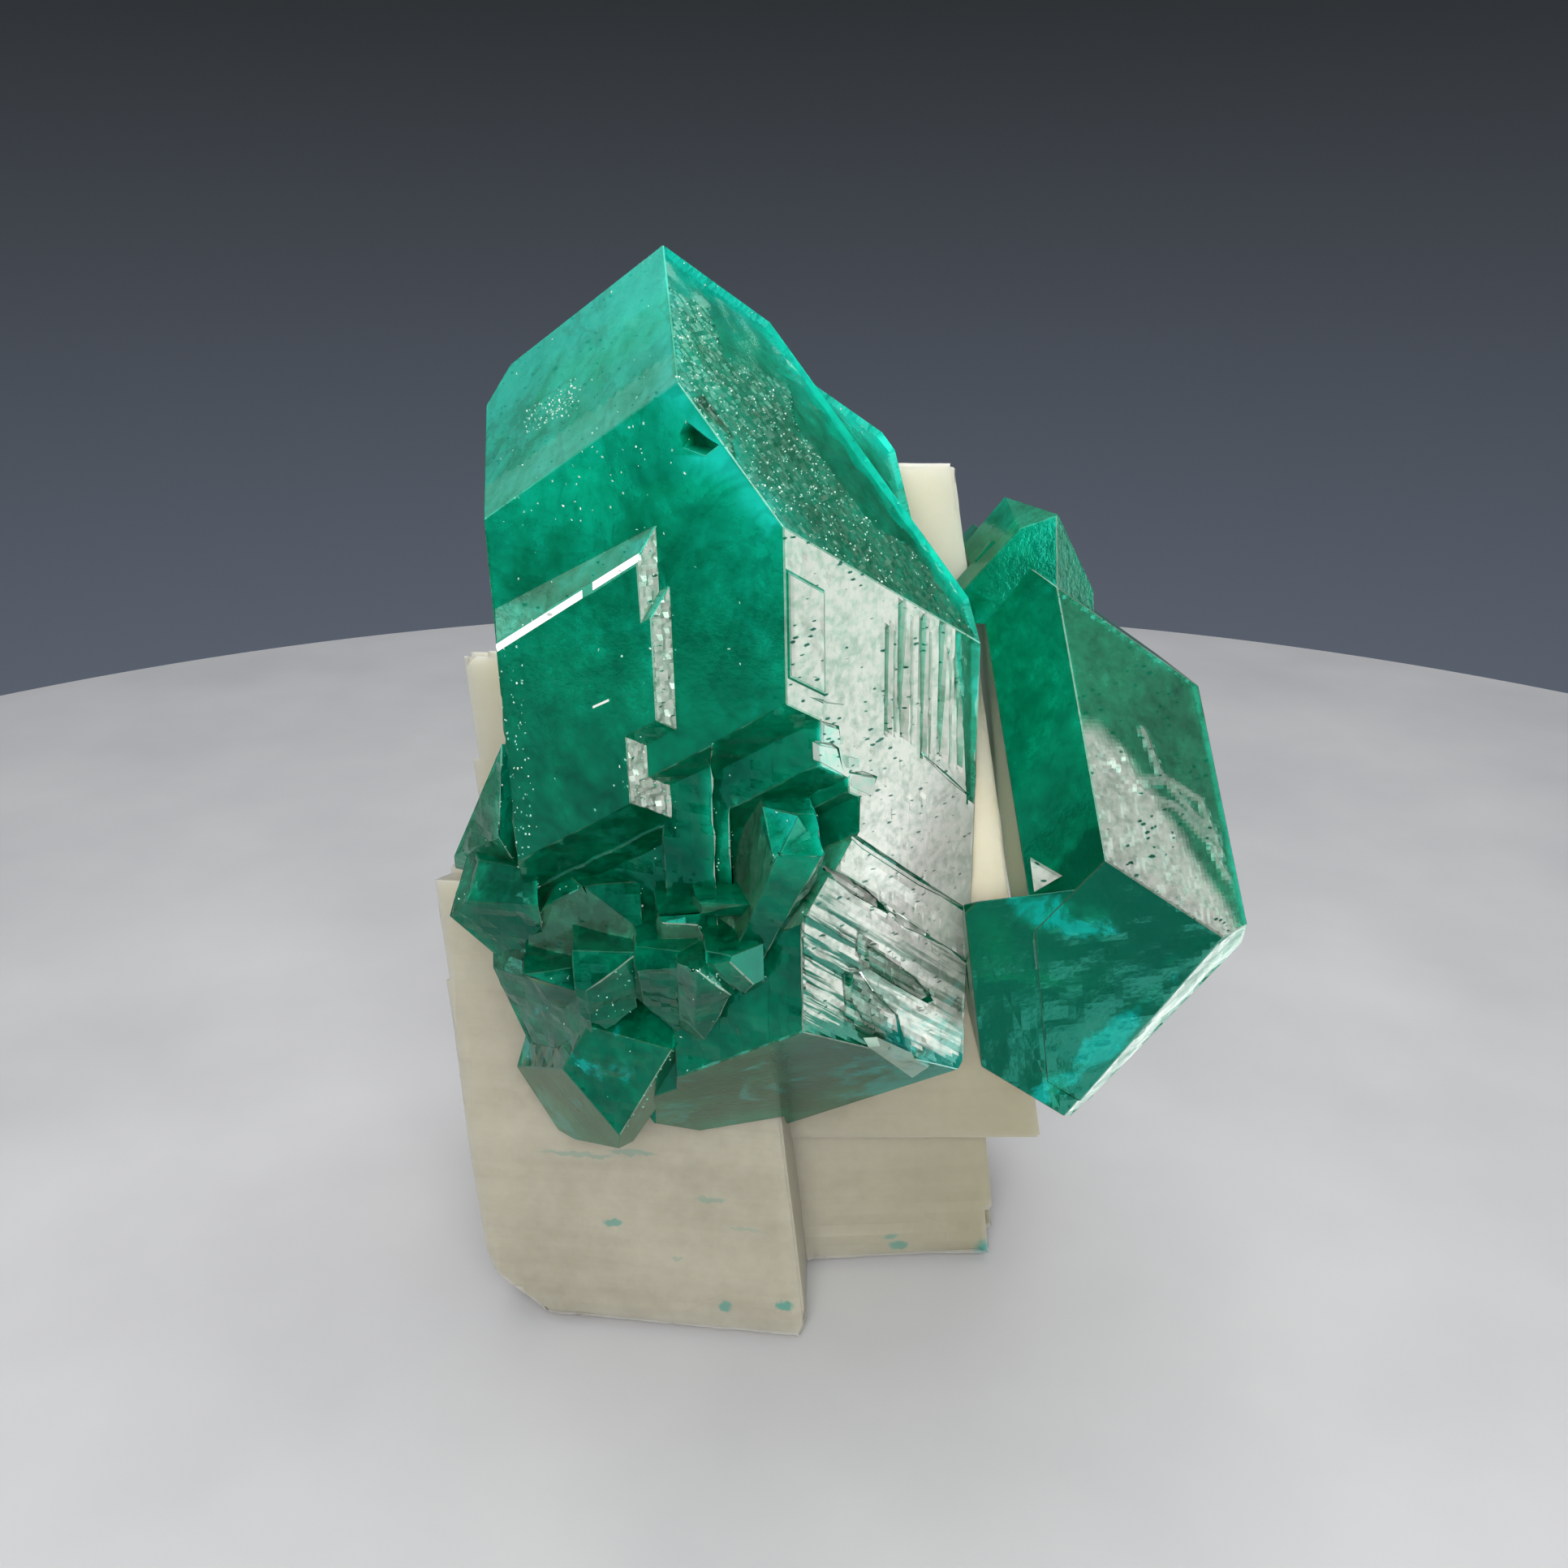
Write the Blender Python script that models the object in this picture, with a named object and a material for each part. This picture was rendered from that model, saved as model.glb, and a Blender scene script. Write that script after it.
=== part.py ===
"""Dioptase on calcite: a large doubly ended dioptase crystal with smaller crystals grown on its foot,
a second crystal beside it, and the cleaved calcite that both grew on. The model is in metres, +Z up,
with the viewer in front at -Y. It stands on its calcite, with the origin on the surface below the
middle of its outer box. Sizes in the tables are millimetres."""

import bmesh
import bpy
from math import cos, radians, sin
from mathutils import Euler, Matrix, Vector

MM = 0.001
ROOT_GAP = 0.06
ROUGH_BLOCK = 60.0
STAND_SHIFT = (-0.01, -1.61, 0.0)

# Dioptase is trigonal. Its six prism faces stand every 60 degrees round the long axis, and the three
# rhombohedral faces at each end make this angle with it. Azimuths start at the front and grow to the right.
END_FACE_RISE = 39.05
FACES = {
    "front_left": (-30, 0),
    "front_right": (30, 0),
    "left": (-90, 0),
    "right": (90, 0),
    "back_left": (-150, 0),
    "back_right": (150, 0),
    "top_left": (-60, END_FACE_RISE),
    "top_right": (60, END_FACE_RISE),
    "top_back": (180, END_FACE_RISE),
    "bottom_front": (0, -END_FACE_RISE),
    "bottom_right": (120, -END_FACE_RISE),
    "bottom_left": (-120, -END_FACE_RISE),
    "edge_right": (60, 0),
    "striae": (-13.5, -END_FACE_RISE),
    "under_edge": (60, -54),
    "under_tip": (-40, -75),
    "ledge": (0, 90),
}

# The main crystal: where its long axis crosses the level of its middle, how it is turned, and how far
# each natural face lies from that point.
MAIN_PLACE = (-1.56, -2.32, 19.38)
MAIN_TURN = (0.0, -1.0, 7.0)
MAIN = {
    "front_left": 3.63,
    "front_right": 4.33,
    "left": 5.75,
    "right": 5.78,
    "back_left": 5.1,
    "back_right": 2.57,
    "top_left": 7.65,
    "top_right": 5.89,
    "top_back": 7.65,
    "bottom_front": 7.5,
    "bottom_right": 9.5,
    "bottom_left": 9.6,
}
LAYER_INSET = 0.04
AXES_POINT = (-0.7, 4.6, 0.0)

# Growth layers that share the main crystal's axes. Each names the faces that differ from it.
MAIN_LAYERS = {
    "upper_plate": {"front_left": 4.08, "top_left": 6.02, "front_right": 1.72, "bottom_front": 1.0},
    "middle_plate": {"front_left": 4.08, "top_left": 5.1, "front_right": 1.95, "bottom_front": 1.9},
    "lower_plate": {"front_left": 4.08, "top_left": 5.1, "front_right": 1.25, "bottom_front": 2.95},
    "back_lobe": {"top_right": 5.76, "top_back": 6.53, "back_right": 4.8, "right": 4.55, "front_right": 3.2,
                  "bottom_front": 2.0},
    "rhomb_plate": {"front_right": 4.4, "front_left": 3.6, "top_right": 5.35, "right": 1.62, "bottom_front": 2.0},
}

# Re-entrant steps. A chip takes away all that lies beyond every face it names.
MAIN_CHIPS = {
    "recessed_foot": {"front_left": 3.13, "bottom_front": 2.42},
    "open_foot": {"left": 2.1, "bottom_front": 3.0, "front_left": 2.6},
    "left_of_foot": {"left": 4.7, "bottom_front": 4.2},
    "below_foot": {"left": 2.7, "bottom_front": 5.2, "front_left": 1.2},
    "notch_upper": {"front_left": 2.82, "bottom_front": 2.38, "top_left": -1.0, "right": -0.9},
    "notch_middle": {"front_left": 2.11, "bottom_front": 3.07, "top_left": -1.2, "right": -0.5},
    "notch_lower": {"front_left": 1.83, "bottom_front": 3.3, "top_left": -1.4, "right": -0.2},
    "right_bevel": {"edge_right": 6.5, "top_right": 2.2},
    "step_one": {"front_right": 4.23, "striae": 3.44},
    "step_two": {"front_right": 4.13, "striae": 4.29},
}

# The second crystal leans back and shows the same faces. It has a broader layer at its lower left.
RIGHT_PLACE = (8.23, 0.13, 17.13)
RIGHT_TURN = (-38.1, -8.3, -0.6)
RIGHT = {
    "front_left": 3.89,
    "front_right": 3.04,
    "left": 2.7,
    "right": 2.65,
    "back_left": 3.2,
    "back_right": 3.0,
    "top_left": 6.3,
    "top_right": 3.35,
    "top_back": 6.0,
    "bottom_front": 5.3,
    "bottom_right": 4.78,
    "bottom_left": 7.0,
    "under_edge": 6.08,
    "under_tip": 9.3,
}
RIGHT_LAYERS = {
    "lower_left_layer": {"front_left": 5.1, "left": 4.35, "ledge": -4.0, "bottom_front": 5.29,
                         "bottom_left": 7.6, "back_left": 4.2},
}

# Small crystals: the place of each in the main crystal's axes, how far its rough block reaches to the
# sides, back and up from there, and its facets, each with azimuth, rise, and distance from the place.
SHOULDER = {
    "shoulder": ((7.0, 6.2, 3.6), (2.2, 2.6, 1.9), [(-25, 15, 0.0), (44, 11, 0.8), (-88, 41, 0.4), (-75, 65, 0.5),
                                                    (105, 33, 1.2)]),
}
FOOT_CRYSTALS = {
    "foot_point": ((-5.0, 3.0, -9.6), (2.5, 5.0, 4.2), [(-24, -1, 0.0), (-75, 23, 0.8), (-51, -21, 0.2),
                                                        (48, -28, 1.2), (-150, -4, 4.0), (12, -63, 1.9),
                                                        (122, -25, 2.3), (-10, 60, 1.7)]),
    "left_slab": ((-7.5, 4.6, -5.6), (1.5, 3.4, 2.0), [(-24, -21, 0.0), (-75, 31, 1.0), (-144, -24, 0.5),
                                                       (77, -17, 1.8), (-30, 42, 1.1)]),
    "left_rear": ((-7.2, 4.9, -2.2), (1.8, 3.4, 2.4), [(-60, 11, 0.0), (-35, -31, 0.6), (-130, 32, 0.5),
                                                       (60, 0, 0.6)]),
    "left_step": ((-6.7, 4.4, -7.6), (1.8, 3.4, 1.7), [(-41, -13, 0.0), (-126, -12, 0.7), (-43, 20, 0.5),
                                                       (-20, -60, 1.2)]),
    "dark_step": ((-5.3, 3.3, -5.2), (1.9, 3.4, 1.5), [(-35, 5, 0.0), (-62, 37, 0.65), (6, 55, 1.35),
                                                       (-3, -20, 0.85), (-37, -35, 0.85), (-95, -1, 1.15),
                                                       (-93, 29, 0.9)]),
    "cube_corner": ((-4.3, 2.0, -6.4), (0.9, 3.4, 1.6), [(15, -22, 0.0), (-12, 11, 0.6), (95, -2, 0.65),
                                                         (84, -55, 0.7), (-54, -48, 0.75), (-28, -21, 0.4)]),
    "pale_ledge": ((-5.6, 3.0, -6.8), (0.9, 3.4, 1.1), [(-15, -34, 0.0), (9, 5, 0.5), (43, -27, 0.55),
                                                        (-82, -56, 0.45), (-73, -27, 0.35)]),
    "grey_step": ((-2.9, 1.4, -6.0), (0.8, 3.2, 1.6), [(-15, -28, 0.05), (-23, 13, 0.85), (44, -6, 0.55),
                                                       (67, -31, 0.7), (-75, -39, 0.7), (-67, -14, 0.55)]),
    "grey_point": ((-2.0, 0.6, -6.0), (0.7, 3.2, 1.5), [(10, -25, -0.05), (45, 5, 0.45), (78, -27, 0.4),
                                                        (-48, -37, 0.45), (-43, -17, 0.2)]),
    "grey_column": ((-2.5, 1.5, -4.6), (0.6, 2.8, 1.0), [(-5, -30, 0.05), (0, 10, 0.6), (55, -8, 0.5),
                                                         (57, -46, 0.4), (-81, -43, 0.7), (-67, -12, 0.45)]),
    "knob": ((-1.3, 0.2, -4.9), (0.7, 2.6, 0.7), [(-10, -25, 0.05), (-30, 21, 0.5), (32, 4, 0.2),
                                                  (35, -36, 0.35), (-55, -38, 0.2)]),
    "slanted_bar": ((-0.5, 0.1, -3.3), (1.2, 3.0, 2.4), [(-18, -18, 0.0), (-20, 67, 1.95), (59, -29, 0.4),
                                                         (-71, -21, 0.95), (-82, 13, 0.35)]),
    "bar_tip": ((0.2, -0.2, -1.3), (0.7, 2.0, 0.7), [(35, 10, 0.05), (128, 28, 0.3), (18, -38, 0.25),
                                                     (-62, 44, 0.4)]),
    "short_ledge": ((-1.5, 0.8, -3.5), (0.7, 2.4, 0.3), [(-10, -35, -0.05), (-11, 15, 0.2), (67, -17, 0.55),
                                                         (16, -84, 0.25), (-72, -13, 0.45)]),
}

# Calcite blocks: a bottom corner, then the three edges that meet there, as cleavage leaves them. The
# specimen stands on a plane that cuts all of them.
CALCITE_BLOCKS = {
    "front_left_foot": ((-9.9, -2.05, 0.0), (10.2, -1.23, 0.0), (0.6, 9.6, -3.4), (-1.5, 3.3, 13.4)),
    "right_foot": ((-3.0, -0.1, 0.0), (9.5, 0.5, 0.0), (0.5, 6.4, -2.2), (-1.1, 1.2, 9.0)),
    "tall_slab": ((-3.0, 0.35, 4.6), (10.6, 0.05, 0.0), (0.3, 5.9, -2.1), (-3.5, 1.1, 20.6)),
    "rear_shoulder": ((-8.7, 3.0, 0.0), (9.5, -0.4, 0.0), (0.4, 3.8, -1.4), (-1.3, 0.4, 19.5)),
}


def outward(azimuth, rise):
    """The direction that a facet faces, from its azimuth and rise in degrees."""
    around, up = radians(azimuth), radians(rise)
    return Vector((sin(around) * cos(up), -cos(around) * cos(up), sin(up)))


def cleave(block, normal, reach, keep_outside=False):
    """Cuts the block along one plane and closes the cut."""
    bmesh.ops.bisect_plane(
        block,
        geom=block.verts[:] + block.edges[:] + block.faces[:],
        dist=1e-6,
        plane_co=normal * reach,
        plane_no=normal,
        clear_outer=not keep_outside,
        clear_inner=keep_outside,
    )
    bmesh.ops.holes_fill(block, edges=[edge for edge in block.edges if edge.is_boundary])


def new_object(name, block, placement, collection):
    """Makes an object of a block worked out in millimetres, and puts the block in its place."""
    bmesh.ops.transform(block, matrix=Matrix.Scale(MM, 4), verts=block.verts)
    bmesh.ops.recalc_face_normals(block, faces=block.faces)
    mesh = bpy.data.meshes.new(name)
    block.to_mesh(mesh)
    block.free()
    made = bpy.data.objects.new(name, mesh)
    made.matrix_world = Matrix.Translation(Vector(STAND_SHIFT) * MM) @ placement
    collection.objects.link(made)
    return made


def placed(place, turn):
    """The matrix that puts a piece at a place in millimetres, turned by XYZ angles in degrees."""
    rotation = Euler([radians(angle) for angle in turn]).to_matrix().to_4x4()
    return Matrix.Translation(Vector(place) * MM) @ rotation


def crystal(name, reaches, placement, collection):
    """A closed crystal: a rough block cleaved along each natural face."""
    block = bmesh.new()
    bmesh.ops.create_cube(block, size=ROUGH_BLOCK)
    for face, reach in reaches.items():
        cleave(block, outward(*FACES[face]), reach)
    return new_object(name, block, placement, collection)


def chip(name, beyond, placement, collection):
    """A cutter that holds all that lies outside every face it names."""
    block = bmesh.new()
    bmesh.ops.create_cube(block, size=ROUGH_BLOCK)
    for face, reach in beyond.items():
        cleave(block, outward(*FACES[face]), reach, keep_outside=True)
    return new_object(name, block, placement, collection)


def small_crystal(name, place, rough, facets, axes, collection):
    """A small crystal: a rough block with a flat root behind, cleaved along its own facets."""
    aside, behind, above = rough
    block = bmesh.new()
    bmesh.ops.create_cube(block, size=1.0)
    bmesh.ops.scale(block, vec=(2 * aside, ROUGH_BLOCK, 2 * above), verts=block.verts)
    cleave(block, Vector((0, 1, 0)), behind)
    for azimuth, rise, reach in facets:
        cleave(block, outward(azimuth, rise), reach)
    return new_object(name, block, axes @ Matrix.Translation(Vector(place) * MM), collection)


def calcite_block(name, corner, edges, collection, swell=0.0):
    """A cleavage rhomb of calcite, with its faces moved out by swell."""
    block = bmesh.new()
    bmesh.ops.create_cube(block, size=1.0)
    along, across, up = (Vector(edge) for edge in edges)
    shear = Matrix((along, across, up)).transposed().to_4x4()
    growth = [1 + 2 * swell / edge.length for edge in (along, across, up)]
    centre = Vector(corner) + (along + across + up) / 2
    matrix = Matrix.Translation(centre) @ shear @ Matrix.Diagonal((*growth, 1))
    bmesh.ops.transform(block, matrix=matrix, verts=block.verts)
    cleave(block, Vector((0, 0, -1)), 0)
    return new_object(name, block, Matrix.Identity(4), collection)


def boolean(target, operation, operand):
    modifier = target.modifiers.new(f"{operation.lower()}_{operand.name}", "BOOLEAN")
    modifier.operation = operation
    modifier.solver = "EXACT"
    modifier.operand_type = "COLLECTION"
    modifier.collection = operand


def group(name, parent, hidden=False):
    made = bpy.data.collections.new(name)
    parent.children.link(made)
    made.hide_render = hidden
    return made


def hide_helpers(collection):
    for helper in collection.all_objects:
        helper.hide_render = True
        helper.display_type = "WIRE"


def material(name, colour, roughness, transmission=0.0):
    made = bpy.data.materials.new(name)
    made.use_nodes = True
    shader = made.node_tree.nodes["Principled BSDF"]
    shader.inputs["Base Color"].default_value = (*colour, 1)
    shader.inputs["Roughness"].default_value = roughness
    shader.inputs["Metallic"].default_value = 0.0
    shader.inputs["Transmission Weight"].default_value = transmission
    shader.inputs["IOR"].default_value = 1.66
    made.diffuse_color = (*colour, 1)
    return made


def calcite_matrix(specimen, helpers, finish):
    """The cleaved calcite that everything grew on, four rhombs grown into one."""
    rest = group("calcite_rhombs", helpers)
    blocks = dict(CALCITE_BLOCKS)
    first = next(iter(blocks))
    corner, *edges = blocks.pop(first)
    base = calcite_block("calcite_matrix", corner, edges, specimen)
    for name, (corner, *edges) in blocks.items():
        calcite_block(name, corner, edges, rest)
    boolean(base, "UNION", rest)
    base.data.materials.append(finish)


def calcite_room(helpers):
    """The same rhombs a gap larger, which the crystals' roots stop at."""
    room = group("calcite_room", helpers)
    for name, (corner, *edges) in CALCITE_BLOCKS.items():
        calcite_block(f"room_{name}", corner, edges, room, swell=ROOT_GAP)
    return room


def grown_layers(body, changes_by_name, placement, collection):
    """Parallel growth layers. They lie a little inside the body on the faces that they share with it."""
    for name, changes in changes_by_name.items():
        reaches = {face: reach - LAYER_INSET for face, reach in body.items()}
        crystal(name, {**reaches, **changes}, placement, collection)


def main_crystal(specimen, helpers, room, finish):
    """The large crystal with its growth layers, its steps, and the small crystals on its foot."""
    placement = placed(MAIN_PLACE, MAIN_TURN)
    axes = placement @ Matrix.Translation(-Vector(AXES_POINT) * MM)
    chips = group("main_chips", helpers)
    layers = group("main_layers", helpers)
    body = crystal("main_crystal", MAIN, placement, specimen)
    for name, beyond in MAIN_CHIPS.items():
        chip(name, beyond, placement, chips)
    grown_layers(MAIN, MAIN_LAYERS, placement, layers)
    for name, (place, rough, facets) in FOOT_CRYSTALS.items():
        small_crystal(name, place, rough, facets, axes, layers)
    boolean(body, "DIFFERENCE", chips)
    boolean(body, "UNION", layers)
    boolean(body, "DIFFERENCE", room)
    body.data.materials.append(finish)


def right_crystal(specimen, helpers, room, finish):
    """The second crystal, with its lower left layer and the small crystal on its shoulder. It stops where
    the main crystal begins."""
    placement = placed(RIGHT_PLACE, RIGHT_TURN)
    main_placement = placed(MAIN_PLACE, MAIN_TURN)
    axes = main_placement @ Matrix.Translation(-Vector(AXES_POINT) * MM)
    beside = group("right_layers", helpers)
    main_room = group("main_room", helpers)
    crystal("main_outline", {face: reach + ROOT_GAP for face, reach in MAIN.items()}, main_placement, main_room)
    body = crystal("right_crystal", RIGHT, placement, specimen)
    grown_layers(RIGHT, RIGHT_LAYERS, placement, beside)
    for name, (place, rough, facets) in SHOULDER.items():
        small_crystal(name, place, rough, facets, axes, beside)
    boolean(body, "UNION", beside)
    boolean(body, "DIFFERENCE", main_room)
    boolean(body, "DIFFERENCE", room)
    body.data.materials.append(finish)


def main():
    for old in list(bpy.data.objects):
        bpy.data.objects.remove(old, do_unlink=True)
    scene = bpy.context.scene.collection
    specimen = group("dioptase_specimen", scene)
    helpers = group("helpers", scene)
    dioptase = material("dioptase", (0.0, 0.25, 0.13), 0.08, transmission=0.8)
    calcite = material("calcite", (0.62, 0.57, 0.44), 0.45)
    room = calcite_room(helpers)
    calcite_matrix(specimen, helpers, calcite)
    main_crystal(specimen, helpers, room, dioptase)
    right_crystal(specimen, helpers, room, dioptase)
    hide_helpers(helpers)


main()
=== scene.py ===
from bisect import bisect_right
from math import cos, exp, radians, sin
from random import Random

import bmesh
import bpy
from mathutils import Euler, Matrix, Vector, noise
from mathutils.bvhtree import BVHTree


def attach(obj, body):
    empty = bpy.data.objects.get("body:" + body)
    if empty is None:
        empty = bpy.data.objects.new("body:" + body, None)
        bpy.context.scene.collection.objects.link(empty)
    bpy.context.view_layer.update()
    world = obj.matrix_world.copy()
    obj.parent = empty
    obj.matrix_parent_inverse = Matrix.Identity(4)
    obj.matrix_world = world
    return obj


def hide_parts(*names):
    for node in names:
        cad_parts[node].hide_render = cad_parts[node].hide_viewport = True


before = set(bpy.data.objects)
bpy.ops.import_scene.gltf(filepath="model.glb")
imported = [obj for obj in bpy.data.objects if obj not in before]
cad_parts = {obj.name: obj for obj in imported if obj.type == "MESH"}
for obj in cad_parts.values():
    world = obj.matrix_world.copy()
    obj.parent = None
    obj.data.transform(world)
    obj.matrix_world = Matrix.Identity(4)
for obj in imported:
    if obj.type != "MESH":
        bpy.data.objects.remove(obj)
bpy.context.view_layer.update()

# The specimen is about 31 mm high. It is seen from close by, through a short lens that looks 22 degrees
# down along the main crystal's length, so its upright edges draw together towards the bottom.
MM = 0.001
CAMERA_PLACE = (-0.41, -37.15, 31.01)
LENS = 31.86
FILM_WIDTH = 36.0
LOOKS_DOWN = 22.0

eye = bpy.data.cameras.new("camera")
eye.lens = LENS
eye.sensor_width = FILM_WIDTH
eye.clip_start = 0.002
camera = bpy.data.objects.new("camera", eye)
camera.location = Vector(CAMERA_PLACE) * MM
camera.rotation_euler = (radians(90.0 - LOOKS_DOWN), 0.0, 0.0)
bpy.context.collection.objects.link(camera)
bpy.context.scene.camera = camera


# The stand is a round pale plate in a dim slate grey room. A wide soft light hangs above it and a smaller
# one in front, with a weak fill for the stone. Three pale cards, at both sides and low down at the right,
# are there only for the crystals' faces to mirror.
TABLE_RADIUS = 80.0
TABLE_DROP = 0.2
# The room's colour, from straight below (0) to straight above (1).
SLATE = [(0.36, (0.10, 0.118, 0.152)), (0.5, (0.05, 0.058, 0.07)), (0.57, (0.026, 0.03, 0.033)),
         (0.7, (0.12, 0.13, 0.14)), (0.9, (0.5, 0.52, 0.55))]


def add_node(tree, kind, **values):
    """A new shader node with its settings, and its unlinked inputs by name."""
    made = tree.nodes.new(kind)
    for key, value in values.items():
        if hasattr(made, key):
            setattr(made, key, value)
        else:
            made.inputs[key.replace("_", " ")].default_value = value
    return made


def object_place(tree):
    return add_node(tree, "ShaderNodeTexCoord").outputs["Object"]


def ramp(tree, factor, stops):
    """Colours along a factor, from (place, colour) stops. A single number is a grey."""
    made = tree.nodes.new("ShaderNodeValToRGB")
    bands = made.color_ramp.elements
    while len(bands) < len(stops):
        bands.new(0.5)
    for band, (place, colour) in zip(bands, stops):
        band.position = place
        band.color = (*colour, 1.0) if isinstance(colour, tuple) else (colour, colour, colour, 1.0)
    tree.links.new(factor, made.inputs["Fac"])
    return made.outputs["Color"]


def weighted(tree, shares, start):
    """The weighted sum of several sockets."""
    total = None
    for socket, weight in shares:
        step = add_node(tree, "ShaderNodeMath", operation="MULTIPLY_ADD")
        tree.links.new(socket, step.inputs[0])
        step.inputs[1].default_value = weight
        step.inputs[2].default_value = start
        if total:
            tree.links.new(total, step.inputs[2])
        total = step.outputs["Value"]
    return total


def blended(tree, factor, colour, other, strength, share_by=None):
    """Mixes a plain colour into another by a factor, or by the product of two."""
    share = add_node(tree, "ShaderNodeMath", operation="MULTIPLY")
    tree.links.new(factor, share.inputs[0])
    share.inputs[1].default_value = strength
    if share_by:
        tree.links.new(share_by, share.inputs[1])
    mix = add_node(tree, "ShaderNodeMix", data_type="RGBA")
    tree.links.new(share.outputs["Value"], mix.inputs["Factor"])
    first, second = (socket for socket in mix.inputs if socket.type == "RGBA")
    tree.links.new(colour, first)
    second.default_value = (*other, 1.0)
    return next(socket for socket in mix.outputs if socket.type == "RGBA")


def mottling(tree, place, scale, detail, **values):
    """A pattern of soft uneven patches, from 0 to 1. A larger scale makes them smaller."""
    made = add_node(tree, "ShaderNodeTexNoise", Scale=scale, Detail=detail, **values)
    tree.links.new(place, made.inputs["Vector"])
    return made.outputs["Fac"]


def new_material(name):
    """An empty material, with its node tree and its shader."""
    made = bpy.data.materials.new(name)
    made.use_nodes = True
    return made, made.node_tree, made.node_tree.nodes["Principled BSDF"]


def soft_light(name, place, aim, size, power, colour, lights_stone=True, mirrored=True):
    """A rectangular light that isn't seen itself. It may reach only what mirrors, or only what doesn't."""
    lamp = bpy.data.lights.new(name, "AREA")
    lamp.shape = "RECTANGLE"
    lamp.size, lamp.size_y = (side * MM for side in size)
    lamp.energy = power
    lamp.color = colour
    made = bpy.data.objects.new(name, lamp)
    made.location = Vector(place) * MM
    made.rotation_euler = (Vector(aim) - Vector(place)).to_track_quat("-Z", "Y").to_euler()
    made.visible_camera = False
    made.visible_diffuse = lights_stone
    made.visible_glossy = mirrored
    bpy.context.collection.objects.link(made)
    return made


def table_material():
    """Pale grey paper, slightly mottled."""
    made, tree, shader = new_material("table_paper")
    mottle = mottling(tree, object_place(tree), 90.0, 4.0)
    tone = ramp(tree, mottle, [(0.3, (0.48, 0.48, 0.495)), (0.7, (0.55, 0.55, 0.56))])
    tree.links.new(tone, shader.inputs["Base Color"])
    shader.inputs["Roughness"].default_value = 0.65
    return made


disc = bmesh.new()
bmesh.ops.create_circle(disc, cap_ends=True, segments=180, radius=TABLE_RADIUS * MM)
table_mesh = bpy.data.meshes.new("table")
disc.to_mesh(table_mesh)
disc.free()
table = bpy.data.objects.new("table", table_mesh)
table.location.z = -TABLE_DROP * MM
bpy.context.collection.objects.link(table)
table_mesh.materials.append(table_material())

soft_light("overhead", (0, 30, 95), (0, 0, 12), (120, 90), 0.055, (1.0, 0.99, 0.96))
soft_light("front_key", (4, -78, 60), (0, 0, 14), (70, 50), 0.062, (1.0, 0.99, 0.97))
soft_light("stone_fill", (-4, -62, 43), (5, -1, 14), (26, 26), 0.018, (1.0, 0.98, 0.93), mirrored=False)
soft_light("left_card", (-85, -19, 34), (-4, -8, 23), (50, 30), 0.014, (1.0, 1.0, 1.0), lights_stone=False)
soft_light("floor_card", (47, -9, 0.3), (47, -9, 20), (76, 34), 0.02, (1.0, 0.98, 0.95), lights_stone=False)
soft_light("right_card", (82, -4, 22), (10, -4, 18), (60, 46), 0.022, (1.0, 0.99, 0.97), lights_stone=False)

room = bpy.data.worlds.new("room")
room.use_nodes = True
sky = room.node_tree
look = add_node(sky, "ShaderNodeTexCoord").outputs["Generated"]
height = sky.nodes.new("ShaderNodeSeparateXYZ")
sky.links.new(look, height.inputs["Vector"])
lift = weighted(sky, [(height.outputs["Z"], 0.5)], 0.5)
sky.links.new(ramp(sky, lift, SLATE), sky.nodes["Background"].inputs["Color"])
bpy.context.scene.world = room
bpy.context.scene.view_settings.view_transform = "Standard"


# The calcite is a pale beige stone, four cleavage rhombs grown together. It is cloudy, with straight
# cleavage lines and a few specks of dioptase. The whole specimen stands on it.

# The left side of its front foot is one plain cut: a place on it, and the way it looks.
FOOT_SIDE = ((-9.35, -3.66, 0.0), (-0.993, 0.021, -0.116))
# Broken corners: a place outside the corner, and three where the break meets the edges.
FOOT_BREAKS = [
    ((-12.0, -6.5, -2.0), [(-9.95, -3.9, 1.95), (-6.8, -5.1, -0.3), (-9.2, 1.5, -0.5)]),
    ((-11.0, -5.5, -1.0), [(-9.85, -4.0, 3.1), (-8.6, -4.8, -0.4), (-9.3, 3.0, -0.4)]),
    ((2.0, -6.5, -1.0), [(0.75, -4.3, 1.5), (-0.6, -6.0, -0.2), (0.9, -2.6, -0.3)]),
]
TOP_BREAKS = [
    ((5.6, -3.6, 26.6), [(4.5, -1.6, 24.5), (3.55, -1.6, 25.75), (4.0, 7.0, 25.35)]),
    ((-9.5, 0.0, 22.5), [(-9.9, 0.6, 18.2), (-8.3, 0.6, 20.1), (-9.4, 3.2, 20.0)]),
]
# How wide the stone's worn edges are, and how finely its faces are cut for their relief.
STONE_WEAR = 0.09
STONE_MESH = 0.36
SQUARE = (Vector((1, 0, 0)), Vector((0, 1, 0)), Vector((0, 0, 1)))
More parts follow.
